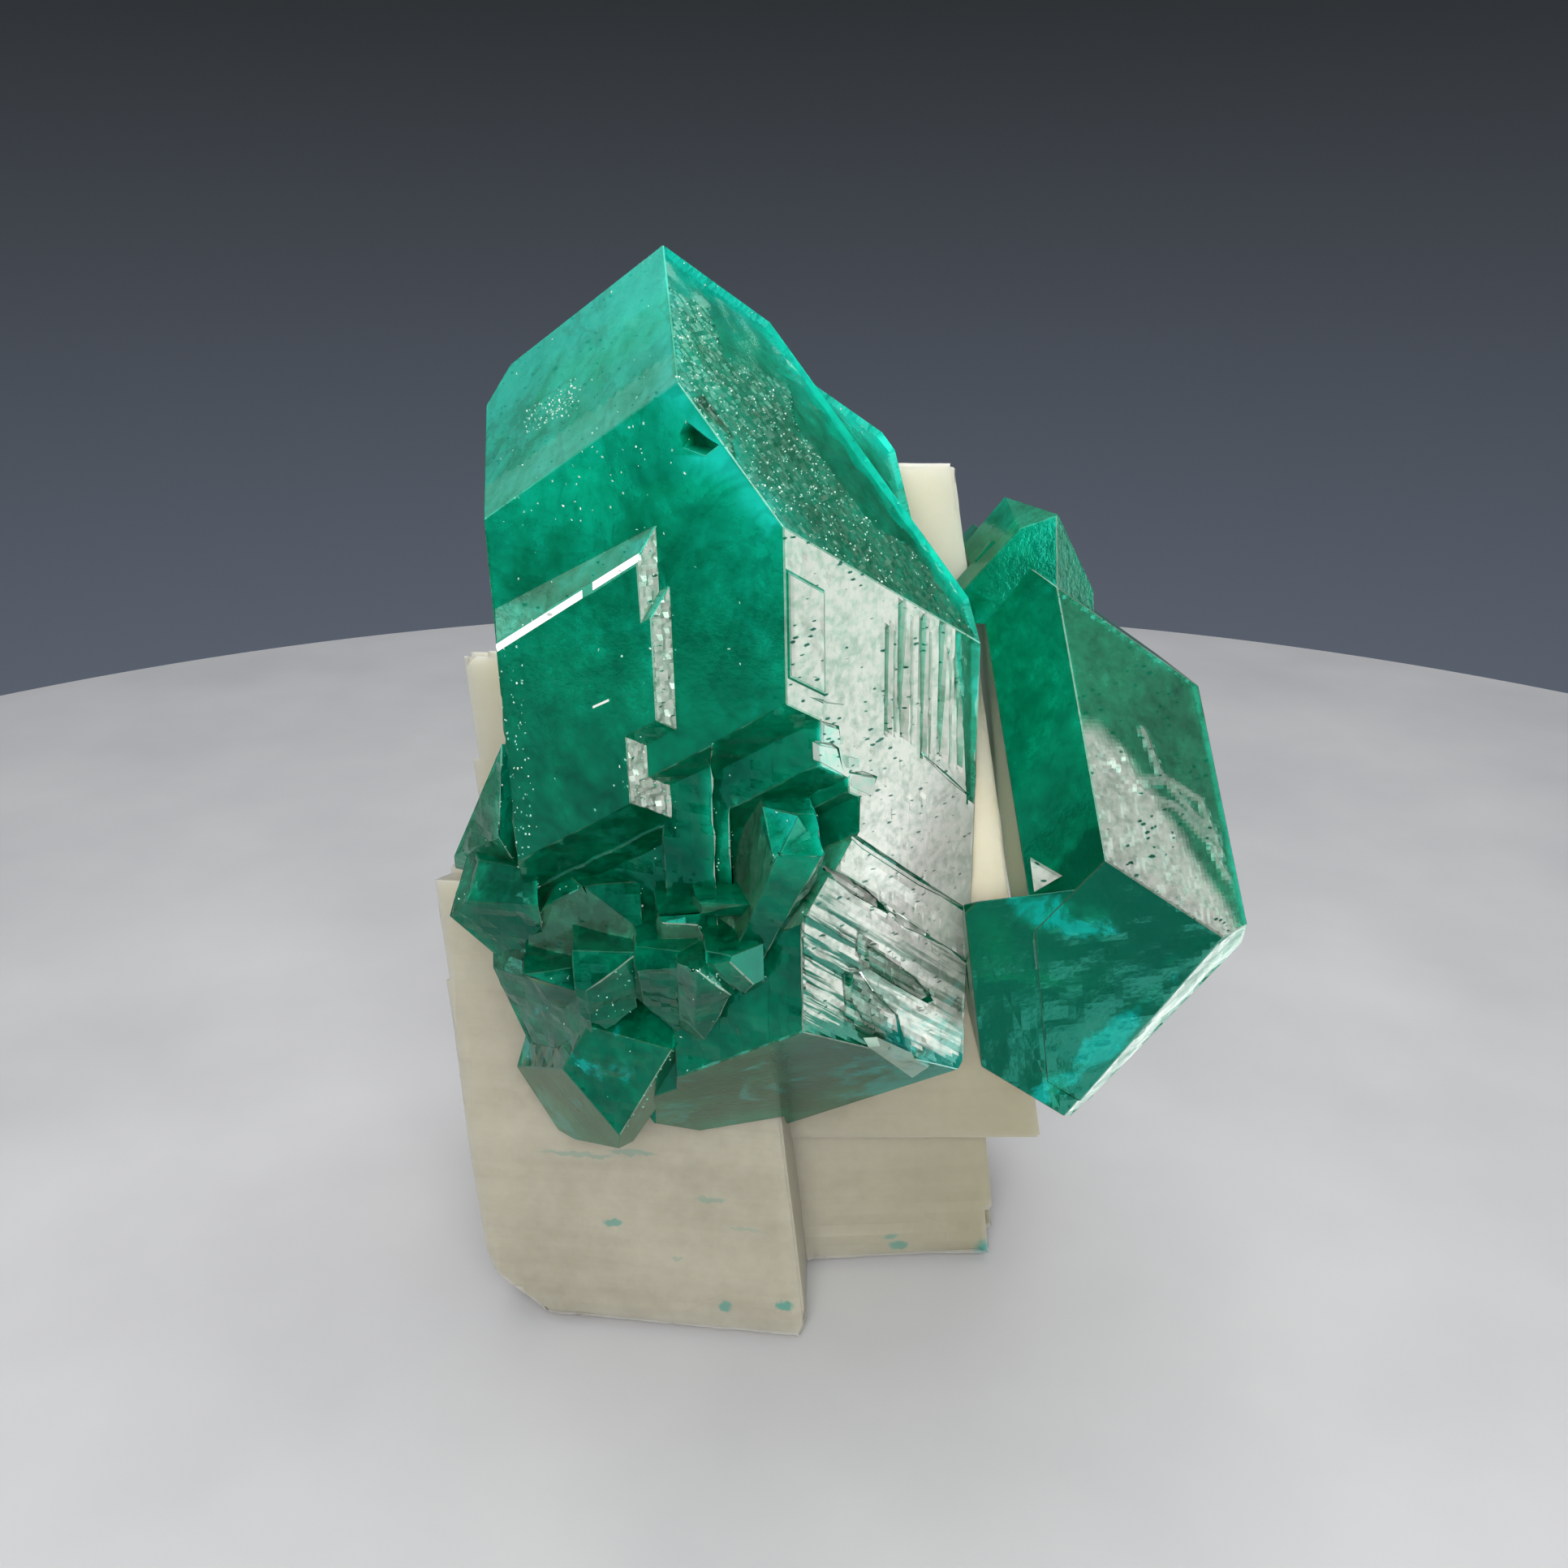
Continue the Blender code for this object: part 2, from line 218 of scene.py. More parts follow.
# Specks of dioptase in the stone: place, half width and height, and strength.
STONE_SPECKS = [
    ((-5.55, -3.45, 3.17), 0.30, 0.13, 0.6), ((-2.19, -4.39, 0.85), 0.2, 0.22, 0.65),
    ((-0.43, -4.57, 1.01), 0.3, 0.16, 0.75), ((6.6, -1.16, 0.1), 0.9, 0.62, 0.9),
    ((3.27, -1.32, 0.44), 0.32, 0.22, 0.6), ((3.05, -1.28, 0.78), 0.26, 0.12, 0.5),
    ((-3.6, -3.9, 2.2), 0.2, 0.08, 0.25), ((-6.6, -2.86, 5.22), 1.2, 0.09, 0.3),
    ((-4.9, -3.02, 5.38), 0.8, 0.1, 0.35), ((-2.6, -3.5, 4.1), 0.5, 0.09, 0.3),
    ((-1.6, -3.9, 3.3), 0.5, 0.05, 0.2), ((0.2, -3.6, 6.2), 0.9, 0.07, 0.3),
]


def solid_copy(node):
    """A solid's mesh with its loose triangles merged and its flat faces whole."""
    block = bmesh.new()
    block.from_mesh(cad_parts[node].data)
    bmesh.ops.remove_doubles(block, verts=block.verts, dist=1e-7)
    bmesh.ops.dissolve_limit(block, angle_limit=radians(0.3), verts=block.verts, edges=block.edges)
    return block


def piece(name, block, finish):
    """Makes a piece of the finished mesh and gives it its material. The faces get a fixed order."""
    block.verts.index_update()
    ordered = sorted(block.faces, key=lambda face: sorted(vert.index for vert in face.verts))
    for place, face in enumerate(ordered):
        face.index = place
    block.faces.sort()
    mesh = bpy.data.meshes.new(name)
    block.to_mesh(mesh)
    block.free()
    made = bpy.data.objects.new(name, mesh)
    bpy.context.collection.objects.link(made)
    mesh.materials.append(finish)
    return made


def ring(first, second):
    """The corners of the side faces between two outlines, all round."""
    turned = first[1:] + first[:1], second[1:] + second[:1]
    return zip(first, second, turned[1], turned[0])


def prism(block, points, normal, depth, shrink):
    """A closed cutter that stands over a polygon, with sloping sides down to its floor."""
    centre, above = sum(points, Vector()) / len(points), 0.8
    top = [block.verts.new(centre + (p - centre) * (1 + 0.3 * (1 - shrink)) + normal * above) for p in points]
    floor = [block.verts.new(centre + (p - centre) * shrink - normal * depth) for p in points]
    for corners in (top, floor[::-1], *ring(top, floor)):
        block.faces.new(corners)


def corner_cut(block, corner, ends):
    """A closed cutter with one point outside a corner and three where the break meets the edges."""
    tip, *base = [block.verts.new(point) for point in (corner, *ends)]
    block.faces.new(base)
    for index in range(3):
        block.faces.new((tip, base[index], base[(index + 1) % 3]))


def carved(block, cutters, name):
    """Takes the cutters' room out of the block."""
    bmesh.ops.recalc_face_normals(cutters, faces=cutters.faces)
    made = []
    for part_name, part in ((name, block), (name + "_cutters", cutters)):
        mesh = bpy.data.meshes.new(part_name)
        part.to_mesh(mesh)
        part.free()
        holder = bpy.data.objects.new(part_name, mesh)
        bpy.context.collection.objects.link(holder)
        made.append(holder)
    body, tool = made
    cut = body.modifiers.new("carve", "BOOLEAN")
    cut.operation = "DIFFERENCE"
    cut.solver = "EXACT"
    cut.use_self = True
    cut.object = tool
    shown = body.evaluated_get(bpy.context.evaluated_depsgraph_get())
    result = bmesh.new()
    result.from_mesh(shown.to_mesh())
    shown.to_mesh_clear()
    for holder in made:
        spare = holder.data
        bpy.data.objects.remove(holder)
        bpy.data.meshes.remove(spare)
    bmesh.ops.remove_doubles(result, verts=result.verts, dist=1e-4)
    bmesh.ops.dissolve_limit(result, angle_limit=radians(0.3), verts=result.verts, edges=result.edges)
    return result


def outer_edges(block, shortest, least_turn):
    """The long sharp edges that stand out, not those in a re-entrant corner."""
    block.normal_update()
    return [edge for edge in block.edges if len(edge.link_faces) == 2 and edge.calc_length() > shortest
            and edge.is_convex and edge.calc_face_angle(0.0) > least_turn]


def cut_through(block, faces, normal, offsets):
    """Cuts chosen faces along parallel planes and gives back all their parts, always in the same order."""
    parts = list(dict.fromkeys([*faces, *(edge for face in faces for edge in face.edges),
                                *(vert for face in faces for vert in face.verts)]))
    for offset in offsets:
        done = bmesh.ops.bisect_plane(block, geom=parts, plane_co=normal * offset, plane_no=normal, dist=1e-5)
        parts = done["geom"]
    return [part for part in parts if isinstance(part, bmesh.types.BMFace)]


def steps_across(faces, direction, pitch):
    """Evenly spaced places, a pitch apart, where planes across a direction cut the faces."""
    places = [v.co.dot(direction) for face in faces for v in face.verts] or [0.0]
    low, high = min(places), max(places)
    count = int((high - low) / pitch)
    return [low + (index + 0.5) * (high - low) / (count + 1) for index in range(count + 1)]


def diced(block, faces, *cuts):
    """Cuts faces into small parts, each cut a direction and the pitch of the planes across it."""
    for way, pitch in cuts:
        faces = cut_through(block, faces, way, steps_across(faces, way, pitch))
    return faces


def smooth(low, high, value):
    share = min(max((value - low) / (high - low), 0.0), 1.0)
    return share * share * (3 - 2 * share)


def terrace(value, steps):
    """Flat levels with sudden small steps between them."""
    return int(value * steps + 100) / steps - 100 / steps


def cleavage_relief(point, normal):
    """How far the stone's surface lies back: low terraces along its foot, gentle unevenness elsewhere."""
    facing_front = smooth(0.6, 0.9, -normal.y)
    near_foot = smooth(1.9, 0.3, point.z - 0.1 * point.x)
    ledges = terrace(0.5 + noise.noise(Vector((point.x * 0.12, 3.0, point.z * 1.9))), 5)
    slanted = Vector((point.x * 0.16 + point.z * 0.05, point.y * 0.3, point.z * 0.22 - point.x * 0.05))
    steps = terrace(0.5 + noise.noise(slanted), 9)
    return facing_front * near_foot * 0.16 * ledges + 0.07 * steps + 0.015 * noise.noise(point * 2.6)


def missing_leaves(block, cutters):
    """Cutters for slim leaves that broke off along the cleavage, at corners of the side and back faces."""
    draw = Random(8)
    for face in block.faces:
        if face.calc_area() < 14 or face.normal.z < -0.5 or face.normal.y < -0.3:
            continue
        for loop in face.loops:
            shown = loop.edge.calc_length() > 1 and loop.link_loop_prev.edge.calc_length() > 1
            convex = loop.edge.is_convex and loop.link_loop_prev.edge.is_convex
            if not (shown and convex) or draw.random() < 0.35:
                continue
            corner = loop.vert.co
            one = (loop.link_loop_next.vert.co - corner) * draw.uniform(0.12, 0.5)
            two = (loop.link_loop_prev.vert.co - corner) * draw.uniform(0.12, 0.5)
            past_one, past_two = one.normalized() * 0.5, two.normalized() * 0.5
            leaf = [corner - past_one - past_two, corner + one - past_two, corner + one + two,
                    corner + two - past_one]
            prism(cutters, leaf, face.normal, draw.uniform(0.08, 0.24), 1.0)


def calcite_material():
    """Cloudy beige stone in faint layers, browner at the right, with specks of dioptase. Higher up it is
    painted paler, a painted light.
    """
    made, tree, shader = new_material("calcite_stone")
    link = tree.links.new
    place = object_place(tree)
    stretched = add_node(tree, "ShaderNodeMapping", Rotation=(0.0, 0.12, 0.0), Scale=(60.0, 60.0, 1500.0))
    link(place, stretched.inputs["Vector"])
    clouds = mottling(tree, place, 170.0, 6.0, Roughness=0.62)
    layers = mottling(tree, stretched.outputs["Vector"], 1.0, 3.0, Roughness=0.6)
    fine = mottling(tree, place, 2400.0, 3.0, Roughness=0.6)
    mixed = weighted(tree, [(clouds, 0.62), (layers, 0.22), (fine, 0.16)], 0.0)
    tone = ramp(tree, mixed, [(0.36, (0.30, 0.278, 0.215)), (0.5, (0.37, 0.345, 0.275)),
                              (0.64, (0.42, 0.395, 0.32))])
    parts = add_node(tree, "ShaderNodeSeparateXYZ")
    link(place, parts.inputs["Vector"])
    # The stone turns browner towards the right. Higher up it is painted paler, a painted light for the
    # brighter lit upper slab.
    for axis, low, high, colour, strength in (("X", -0.5, 6.5, (0.27, 0.25, 0.155), 0.7),
                                              ("Z", 9.0, 22.0, (0.62, 0.60, 0.475), 0.92)):
        span = add_node(tree, "ShaderNodeMapRange", From_Min=low * MM, From_Max=high * MM)
        link(parts.outputs[axis], span.inputs["Value"])
        tone = blended(tree, span.outputs["Result"], tone, colour, strength)
    wavy = add_node(tree, "ShaderNodeVectorMath", operation="MULTIPLY_ADD")
    wobble = add_node(tree, "ShaderNodeTexNoise", Scale=3400.0, Detail=2.0)
    link(place, wobble.inputs["Vector"])
    link(wobble.outputs["Color"], wavy.inputs[0])
    wavy.inputs[1].default_value = (0.0003, 0.0003, 0.0003)
    link(place, wavy.inputs[2])
    for spot, wide, high, strength in STONE_SPECKS:
        sized = Vector((1 / wide, 1 / wide, 1 / high))
        away = add_node(tree, "ShaderNodeVectorMath", operation="MULTIPLY_ADD")
        link(wavy.outputs["Vector"], away.inputs[0])
        away.inputs[1].default_value = sized / MM
        away.inputs[2].default_value = -(Vector(spot) + Vector((0.15, 0.15, 0.15))) * sized
        length = add_node(tree, "ShaderNodeVectorMath", operation="LENGTH")
        link(away.outputs["Vector"], length.inputs[0])
        near = add_node(tree, "ShaderNodeMapRange", From_Min=1.1, From_Max=0.7)
        link(length.outputs["Value"], near.inputs["Value"])
        tone = blended(tree, near.outputs["Result"], tone, (0.01, 0.25, 0.21), strength)
    link(tone, shader.inputs["Base Color"])
    bump = add_node(tree, "ShaderNodeBump", Strength=0.5, Distance=0.00005)
    link(mixed, bump.inputs["Height"])
    link(bump.outputs["Normal"], shader.inputs["Normal"])
    shader.inputs["Subsurface Weight"].default_value = 0.7
    shader.inputs["Subsurface Radius"].default_value = (1.0, 0.9, 0.7)
    shader.inputs["Subsurface Scale"].default_value = 0.0035
    shader.inputs["Roughness"].default_value = 0.45
    return made


stone = solid_copy("calcite_matrix")
bmesh.ops.scale(stone, vec=(1000, 1000, 1000), verts=stone.verts)
bmesh.ops.bisect_plane(stone, geom=stone.verts[:] + stone.edges[:] + stone.faces[:], dist=1e-4,
                       clear_outer=True, plane_co=FOOT_SIDE[0], plane_no=FOOT_SIDE[1])
bmesh.ops.holes_fill(stone, edges=[edge for edge in stone.edges if edge.is_boundary])
breaks = bmesh.new()
for corner, ends in FOOT_BREAKS:
    corner_cut(breaks, corner, ends)
stone = carved(stone, breaks, "foot")
bmesh.ops.bevel(stone, geom=outer_edges(stone, 0.8, radians(25)), offset=STONE_WEAR, segments=2,
                affect="EDGES", clamp_overlap=False)
breaks = bmesh.new()
missing_leaves(stone, breaks)
for corner, ends in TOP_BREAKS:
    corner_cut(breaks, corner, ends)
stone = carved(stone, breaks, "stone")
bmesh.ops.triangulate(stone, faces=[face for face in stone.faces if len(face.verts) > 12])
for axis in SQUARE:
    diced(stone, stone.faces, (axis, STONE_MESH))
stone.normal_update()
for vert in stone.verts:
    vert.co -= vert.normal * max(cleavage_relief(vert.co, vert.normal), 0.0)
    vert.co.z = max(vert.co.z, 0.0)
bmesh.ops.scale(stone, vec=(MM, MM, MM), verts=stone.verts)
calcite = piece("calcite", stone, calcite_material())
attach(calcite, "root")
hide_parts("calcite_matrix")

# A weak narrow light from the viewer's side falls into the gap between the crystals, on the stone alone.
stone_only = bpy.data.collections.new("stone_only")
stone_only.objects.link(calcite)
gap_fill = soft_light("gap_fill", (-0.6, -38.5, 31.6), (5.4, -1, 13.5), (3, 3), 0.00045, (1.0, 0.98, 0.93),
                      mirrored=False)
gap_fill.data.spread = radians(20)
gap_fill.light_linking.receiver_collection = stone_only


# The large dioptase crystal: six prism faces, three sloping faces at each end, a raised growth plate, and
# smaller crystals on its foot. It is glassy and deep green, with etched and grooved faces.

# Where its middle lies, how it is turned, in degrees, and how steeply its end faces rise.
CRYSTAL_PLACE = (-1.57, -3.93, 19.38)
CRYSTAL_TURN = (0.0, -1.0, 7.0)
AXES_POINT = (-0.7, 4.6, 0.0)
END_FACE_RISE = 39.05


def facing(azimuth, rise):
    """The direction that a face looks in, from its azimuth and rise in degrees."""
    around, up = radians(azimuth), radians(rise)
    return Vector((sin(around) * cos(up), -cos(around) * cos(up), sin(up)))


def crystal_axes(place, turn, middle=(0, 0, 0)):
    """The matrix from a crystal's own axes in millimetres to its place in the specimen."""
    turned = Euler([radians(angle) for angle in turn]).to_matrix().to_4x4()
    return Matrix.Scale(MM, 4) @ Matrix.Translation(place) @ turned @ Matrix.Translation(-Vector(middle))


# The ways that the main faces look. The striae are cut across the last one.
FRONT_LEFT = facing(-30, 0)
FRONT_RIGHT = facing(30, 0)
ROOF_LEFT = facing(-60, END_FACE_RISE)
ROOF_RIGHT = facing(60, END_FACE_RISE)
UNDER_FRONT = facing(0, -END_FACE_RISE)
STRIAE = facing(-13.5, -END_FACE_RISE)


def faces_along(block, normal, low=-99.0, high=99.0):
    """The flat faces that look one way and lie between two distances from the crystal's middle."""
    return [face for face in block.faces
            if face.normal.dot(normal) > 0.9998 and low < face.calc_center_median().dot(normal) < high]


def sink(faces, normal, depth_at):
    """Lowers the inner points of the faces below their plane. The outline of the faces stays where it is."""
    chosen = set(faces)
    for vert in {v for face in faces for v in face.verts}:
        if all(face in chosen for face in vert.link_faces):
            vert.co -= normal * depth_at(vert.co)


def trough(line, width, normal):
    """The outline of a narrow trough along a line of points."""
    left, right = [], []
    for index, point in enumerate(line):
        along = line[min(index + 1, len(line) - 1)] - line[max(index - 1, 0)]
        side = normal.cross(along).normalized() * width * (0.5 if 0 < index < len(line) - 1 else 0.12)
        left.append(point + side)
        right.append(point - side)
    return left + right[::-1]


def between(table, place):
    """The value at a place in a table of (place, value) rows."""
    keys = [row[0] for row in table]
    index = min(max(bisect_right(keys, place), 1), len(keys) - 1)
    (low, first), (high, last) = table[index - 1], table[index]
    share = min(max((place - low) / (high - low), 0.0), 1.0)
    return first + (last - first) * share


def thinness(block, softness=2.4, rays=7):
    """Writes on each point how shallow the crystal is behind it, from 0 to 1, by looking inwards. It is the
    start of a painted glow.
    """
    layer = block.verts.layers.float.new("painted_glow")
    tree = BVHTree.FromBMesh(block)
    draw = Random(5)
    leans = [Vector([draw.uniform(-1, 1) for _ in range(3)]) * 0.75 for _ in range(rays)]
    block.normal_update()
    for vert in block.verts:
        inward = -vert.normal
        start = vert.co + inward * 0.06
        total = 0.0
        for lean in leans:
            way = (inward + lean).normalized()
            if way.dot(inward) < 0.25:
                way = (way + inward).normalized()
            _, _, _, far = tree.ray_cast(start, way, 40.0)
            total += exp(-(far or 0.0) / softness)
        vert[layer] = total / rays
    return layer


def striae_pattern(tree, place):
    """Fine slanting growth lines, as they show on the front right face."""
    turned = Euler([radians(angle) for angle in CRYSTAL_TURN]).to_matrix()
    parts = add_node(tree, "ShaderNodeCombineXYZ")
    for index, (way, scale) in enumerate(((STRIAE, 5200.0), (ACROSS_FRONT_RIGHT, 230.0))):
        along = add_node(tree, "ShaderNodeVectorMath", operation="DOT_PRODUCT")
        tree.links.new(place, along.inputs[0])
        along.inputs[1].default_value = (turned @ way) * scale
        tree.links.new(along.outputs["Value"], parts.inputs[index])
    lines = mottling(tree, parts.outputs["Vector"], 1.0, 3.0, Roughness=0.7)
    return ramp(tree, lines, [(0.47, 0), (0.55, 0.8)])


def product(tree, first, second):
    made = add_node(tree, "ShaderNodeMath", operation="MULTIPLY")
    tree.links.new(first, made.inputs[0])
    tree.links.new(second, made.inputs[1])
    return made.outputs["Value"]


def dioptase_material(name):
    """Deep green glassy crystal, painted lighter where its glow value is high, a painted glow. Its etching
    makes faces silvery, partly a painted sheen.
    """
    made, tree, shader = new_material(name)
    link = tree.links.new
    place = object_place(tree)
    painted_glow, etch_and_sheen, striated, glint_fleck = (add_node(tree, "ShaderNodeAttribute", attribute_name=layer).outputs["Fac"]
                                    for layer in ("painted_glow", "etch_and_sheen", "striated", "glint_fleck"))
    clouds = mottling(tree, place, 330.0, 7.0, Roughness=0.68, Distortion=0.35)
    mottle = mottling(tree, place, 1500.0, 4.0, Roughness=0.7, Distortion=0.3)
    cracks = mottling(tree, place, 300.0, 4.0, Roughness=0.6, Distortion=0.9)
    spots = mottling(tree, place, 720.0, 5.0, Roughness=0.65, Distortion=0.6)
    grain = mottling(tree, place, 5200.0, 3.0, Roughness=0.6)

    # The green of the crystal's inside, painted lighter where the painted glow is high, with darker cracks
    # and turquoise flecks, which are painted glints of light caught inside.
    glow_and_mottle = weighted(tree, [(painted_glow, 1.0), (clouds, 0.5), (mottle, 0.5), (grain, 0.14)], -0.32)
    body = ramp(tree, glow_and_mottle, [(0.12, (0.0, 0.105, 0.048)), (0.38, (0.001, 0.32, 0.16)),
                               (0.62, (0.003, 0.60, 0.36)), (0.95, (0.015, 0.90, 0.70))])
    cracked = ramp(tree, cracks, [(0.475, 0), (0.495, 1), (0.505, 1), (0.525, 0)])
    body = blended(tree, cracked, body, (0.0, 0.09, 0.04), 0.2)
    # The turquoise flecks are painted glints of light caught inside the crystal.
    turquoise_glints = ramp(tree, weighted(tree, [(glint_fleck, 0.34), (spots, 1.0)], -0.06), [(0.66, 0), (0.76, 1)])
    body = blended(tree, turquoise_glints, body, (0.004, 0.62, 0.56), 0.7)

    # The etching over it is silvery and dusty, the silver partly a painted sheen, with dark pits and fine
    # lines. Values over 1, as on the plate's rim, are painted near white, a painted highlight.
    flat = add_node(tree, "ShaderNodeMapping", Scale=(1.0, 1.0, 2.6))
    link(place, flat.inputs["Vector"])
    specks = add_node(tree, "ShaderNodeTexVoronoi", Scale=2500.0)
    link(flat.outputs["Vector"], specks.inputs["Vector"])
    crowded = weighted(tree, [(specks.outputs["Distance"], 1.0), (spots, 0.85), (grain, 0.35)], -0.5)
    unpitted = ramp(tree, crowded, [(0.20, 0.08), (0.27, 1)])
    unpitted = blended(tree, striated, unpitted, (0.0, 0.0, 0.0), 1.0, share_by=striae_pattern(tree, place))
    dusty = ramp(tree, weighted(tree, [(mottle, 0.4), (grain, 0.7)], -0.05), [(0.36, 0.68), (0.56, 1)])
    etched_sheen = product(tree, etch_and_sheen, product(tree, unpitted, dusty))
    silvery = blended(tree, etched_sheen, body, (0.53, 0.51, 0.475), 0.93)
    pits = ramp(tree, crowded, [(0.2, 1), (0.27, 0)])
    silvery = blended(tree, pits, silvery, (0.012, 0.075, 0.05), 1.0, share_by=etch_and_sheen)
    painted_highlight = weighted(tree, [(etch_and_sheen, 2.0)], -2.0)
    link(blended(tree, painted_highlight, silvery, (0.96, 0.96, 0.93), 1.0), shader.inputs["Base Color"])
    link(weighted(tree, [(etched_sheen, 0.24)], 0.0), shader.inputs["Metallic"])
    link(weighted(tree, [(etch_and_sheen, 0.2)], 0.14), shader.inputs["Roughness"])

    # Clear crystal is see-through, and deeper green the further one looks into it. The etching is not.
    clear = ramp(tree, clouds, [(0.3, 0.75), (0.7, 0.5)])
    link(blended(tree, etched_sheen, clear, (0.0, 0.0, 0.0), 0.9), shader.inputs["Transmission Weight"])
    bump = add_node(tree, "ShaderNodeBump", Strength=0.25, Distance=0.00004)
    link(grain, bump.inputs["Height"])
    link(bump.outputs["Normal"], shader.inputs["Normal"])
    shader.inputs["IOR"].default_value = 1.67
    shader.inputs["Specular IOR Level"].default_value = 0.4
    shader.inputs["Specular Tint"].default_value = (0.06, 0.9, 0.72, 1.0)
    depth = add_node(tree, "ShaderNodeVolumeAbsorption")
    depth.inputs["Color"].default_value = (0.0, 0.86, 0.72, 1.0)
    depth.inputs["Density"].default_value = 900.0
    link(depth.outputs["Volume"], tree.nodes["Material Output"].inputs["Volume"])
    return made


# Features of the front right face, as places across the face and heights in millimetres. Upright grooves:
# the place at the top and at the bottom, where they start and end, the half width and the depth.
GROOVES = [
    (2.92, 2.93, 3.10, 0.56, 0.06, 0.13),
    (3.12, 3.16, 2.90, 0.50, 0.028, 0.05),
    (3.32, 3.43, 3.60, 0.31, 0.075, 0.18),
    (3.62, 3.70, 3.20, 0.10, 0.028, 0.04),
    (4.02, 4.06, 3.16, -0.37, 0.06, 0.13),
    (4.22, 4.28, 2.70, -0.30, 0.028, 0.05),
    (4.59, 4.70, 2.90, -0.47, 0.075, 0.18),
    (4.88, 4.98, 2.30, -0.80, 0.028, 0.05),
    (5.12, 5.31, 2.60, -0.87, 0.06, 0.13),
]
# Where the rough layer of the right roof face ends: height, and place across the face.
ROUGH_LAYER_EDGE = [(4.42, 5.19), (5.03, 4.07), (5.69, 3.93), (6.22, 3.96), (6.85, 3.93), (7.28, 3.77),
                    (8.10, 4.99), (8.40, 4.12), (8.91, 2.84), (9.88, 3.71), (10.38, 2.54)]
ROUGH_LAYER = 0.16
ACROSS_FRONT_RIGHT = Vector((cos(radians(30)), sin(radians(30)), 0))
ACROSS_ROOF_RIGHT = Vector((cos(radians(60)), sin(radians(60)), 0))
# Narrow dark slits: a line, its width and its depth.
SLITS = [
    ([(0.79, 0.82), (1.25, 0.66), (1.44, 0.50), (1.60, -0.20)], 0.06, 0.12),
    ([(0.98, 1.24), (1.43, 1.02), (1.52, 0.58)], 0.04, 0.08),
    ([(1.74, -0.14), (2.20, -0.30), (2.57, -0.50), (2.42, -0.94)], 0.06, 0.12),
    ([(0.62, 1.92), (1.10, 1.68), (1.62, 1.52)], 0.035, 0.05),
    ([(1.57, -1.53), (2.26, -2.21), (4.15, -3.79), (5.70, -4.95)], 0.08, 0.14),
    ([(4.06, -0.27), (4.90, -1.08), (5.70, -1.80)], 0.06, 0.06),
    ([(4.71, -5.34), (4.70, -5.00), (4.75, -4.66)], 0.06, 0.06),
    ([(4.66, -5.42), (5.20, -5.76), (5.80, -6.12)], 0.05, 0.05),
]
# Gashes: an outline, the depth, and the size of the floor.
GASHES = [
    ([(1.06, -2.34), (1.63, -2.75), (2.44, -3.46), (3.17, -4.20), (3.24, -4.43), (2.69, -3.99), (1.97, -3.41),
      (1.29, -2.75)], 0.45, 0.8),
    ([(3.30, -4.29), (3.80, -4.77), (4.58, -5.41), (4.59, -5.52), (3.81, -4.98), (3.42, -4.59)], 0.25, 0.9),
    ([(2.39, -4.87), (3.20, -5.62), (4.23, -6.59), (5.06, -7.68), (4.79, -7.70), (3.21, -6.33),
      (2.46, -5.63)], 0.4, 0.8),
    ([(1.98, -5.35), (2.22, -5.54), (2.71, -6.36), (3.74, -7.63), (4.03, -8.77), (3.50, -8.32), (2.47, -7.47),
      (1.86, -6.26)], 0.35, 0.8),
]
# A bright bar on the lower front face, just under the front right face, and a short bright line on the plate:
# raised slips painted silvery and near white, painted highlights.
BRIGHT_BAR = [(1.95, 1.15, -7.65), (3.75, 3.35, -10.36), (4.1, 2.75, -9.62), (2.3, 1.15, -7.66)]
BRIGHT_LINE = [(-4.26, 1.95, 1.37), (-3.84, 1.7, 1.62), (-3.85, 1.7, 1.68), (-4.27, 1.95, 1.43)]
# A streak of glints inside the left roof face, by sideways place and height.
GLINT_STREAK = [(-5.29, 7.45), (-4.83, 7.72), (-4.44, 7.95), (-4.22, 8.13)]
# Chips at the broken rim of the front right face, painted silvery, partly a painted sheen; each an outline
# and the way it leans.
CHIPS = [
    ([(0.96, 1.24), (1.41, 1.01), (1.50, 0.60), (0.98, 0.75)], (0.12, 0.0, 0.1)),
    ([(0.79, 0.79), (1.41, 0.54), (1.61, -0.22), (0.81, 0.36)], (-0.1, 0.0, -0.08)),
    ([(1.76, -0.19), (2.55, -0.47), (2.40, -0.92), (1.78, -0.51)], (0.08, 0.0, -0.15)),
    ([(1.62, 0.30), (2.05, 0.12), (2.10, -0.12), (1.66, -0.02)], (-0.15, 0.0, 0.1)),
]
# Hollows low on the face, painted less silvery and so darker, a painted shade, and the line where its silvery
# etching ends.
HOLLOWS = [
    [(2.27, -4.52), (2.70, -5.08), (3.71, -6.13), (4.84, -7.38), (4.24, -6.98), (3.08, -6.17), (2.52, -5.70),
     (2.24, -5.13)],
    [(1.92, -5.59), (2.34, -6.22), (3.09, -7.16), (3.62, -7.92), (4.09, -8.91), (3.11, -8.00), (2.23, -7.43),
     (1.76, -6.65)],
]
ETCHED_TO = [(0.34, -6.36), (1.15, -6.92), (1.92, -7.05), (2.48, -7.60), (3.75, -8.20), (4.30, -8.75),
             (5.40, -9.50), (5.89, -9.64)]
# Past this slightly leaning line the front right face turns into a narrow clear bevel.
PAST_TEAL_LINE = (ACROSS_FRONT_RIGHT + Vector((0, 0, 0.1))).normalized()
TEAL_LINE = 5.36
# How far the slope above the plate lies from the crystal's middle, and where the plate's painted bright edge
# breaks.
PLATE_TOP = 6.02 + AXES_POINT[0] * ROOF_LEFT.x + AXES_POINT[1] * ROOF_LEFT.y
RIM_BREAK = (-4.3, -4.06)
RIM_WIDTH = 0.105
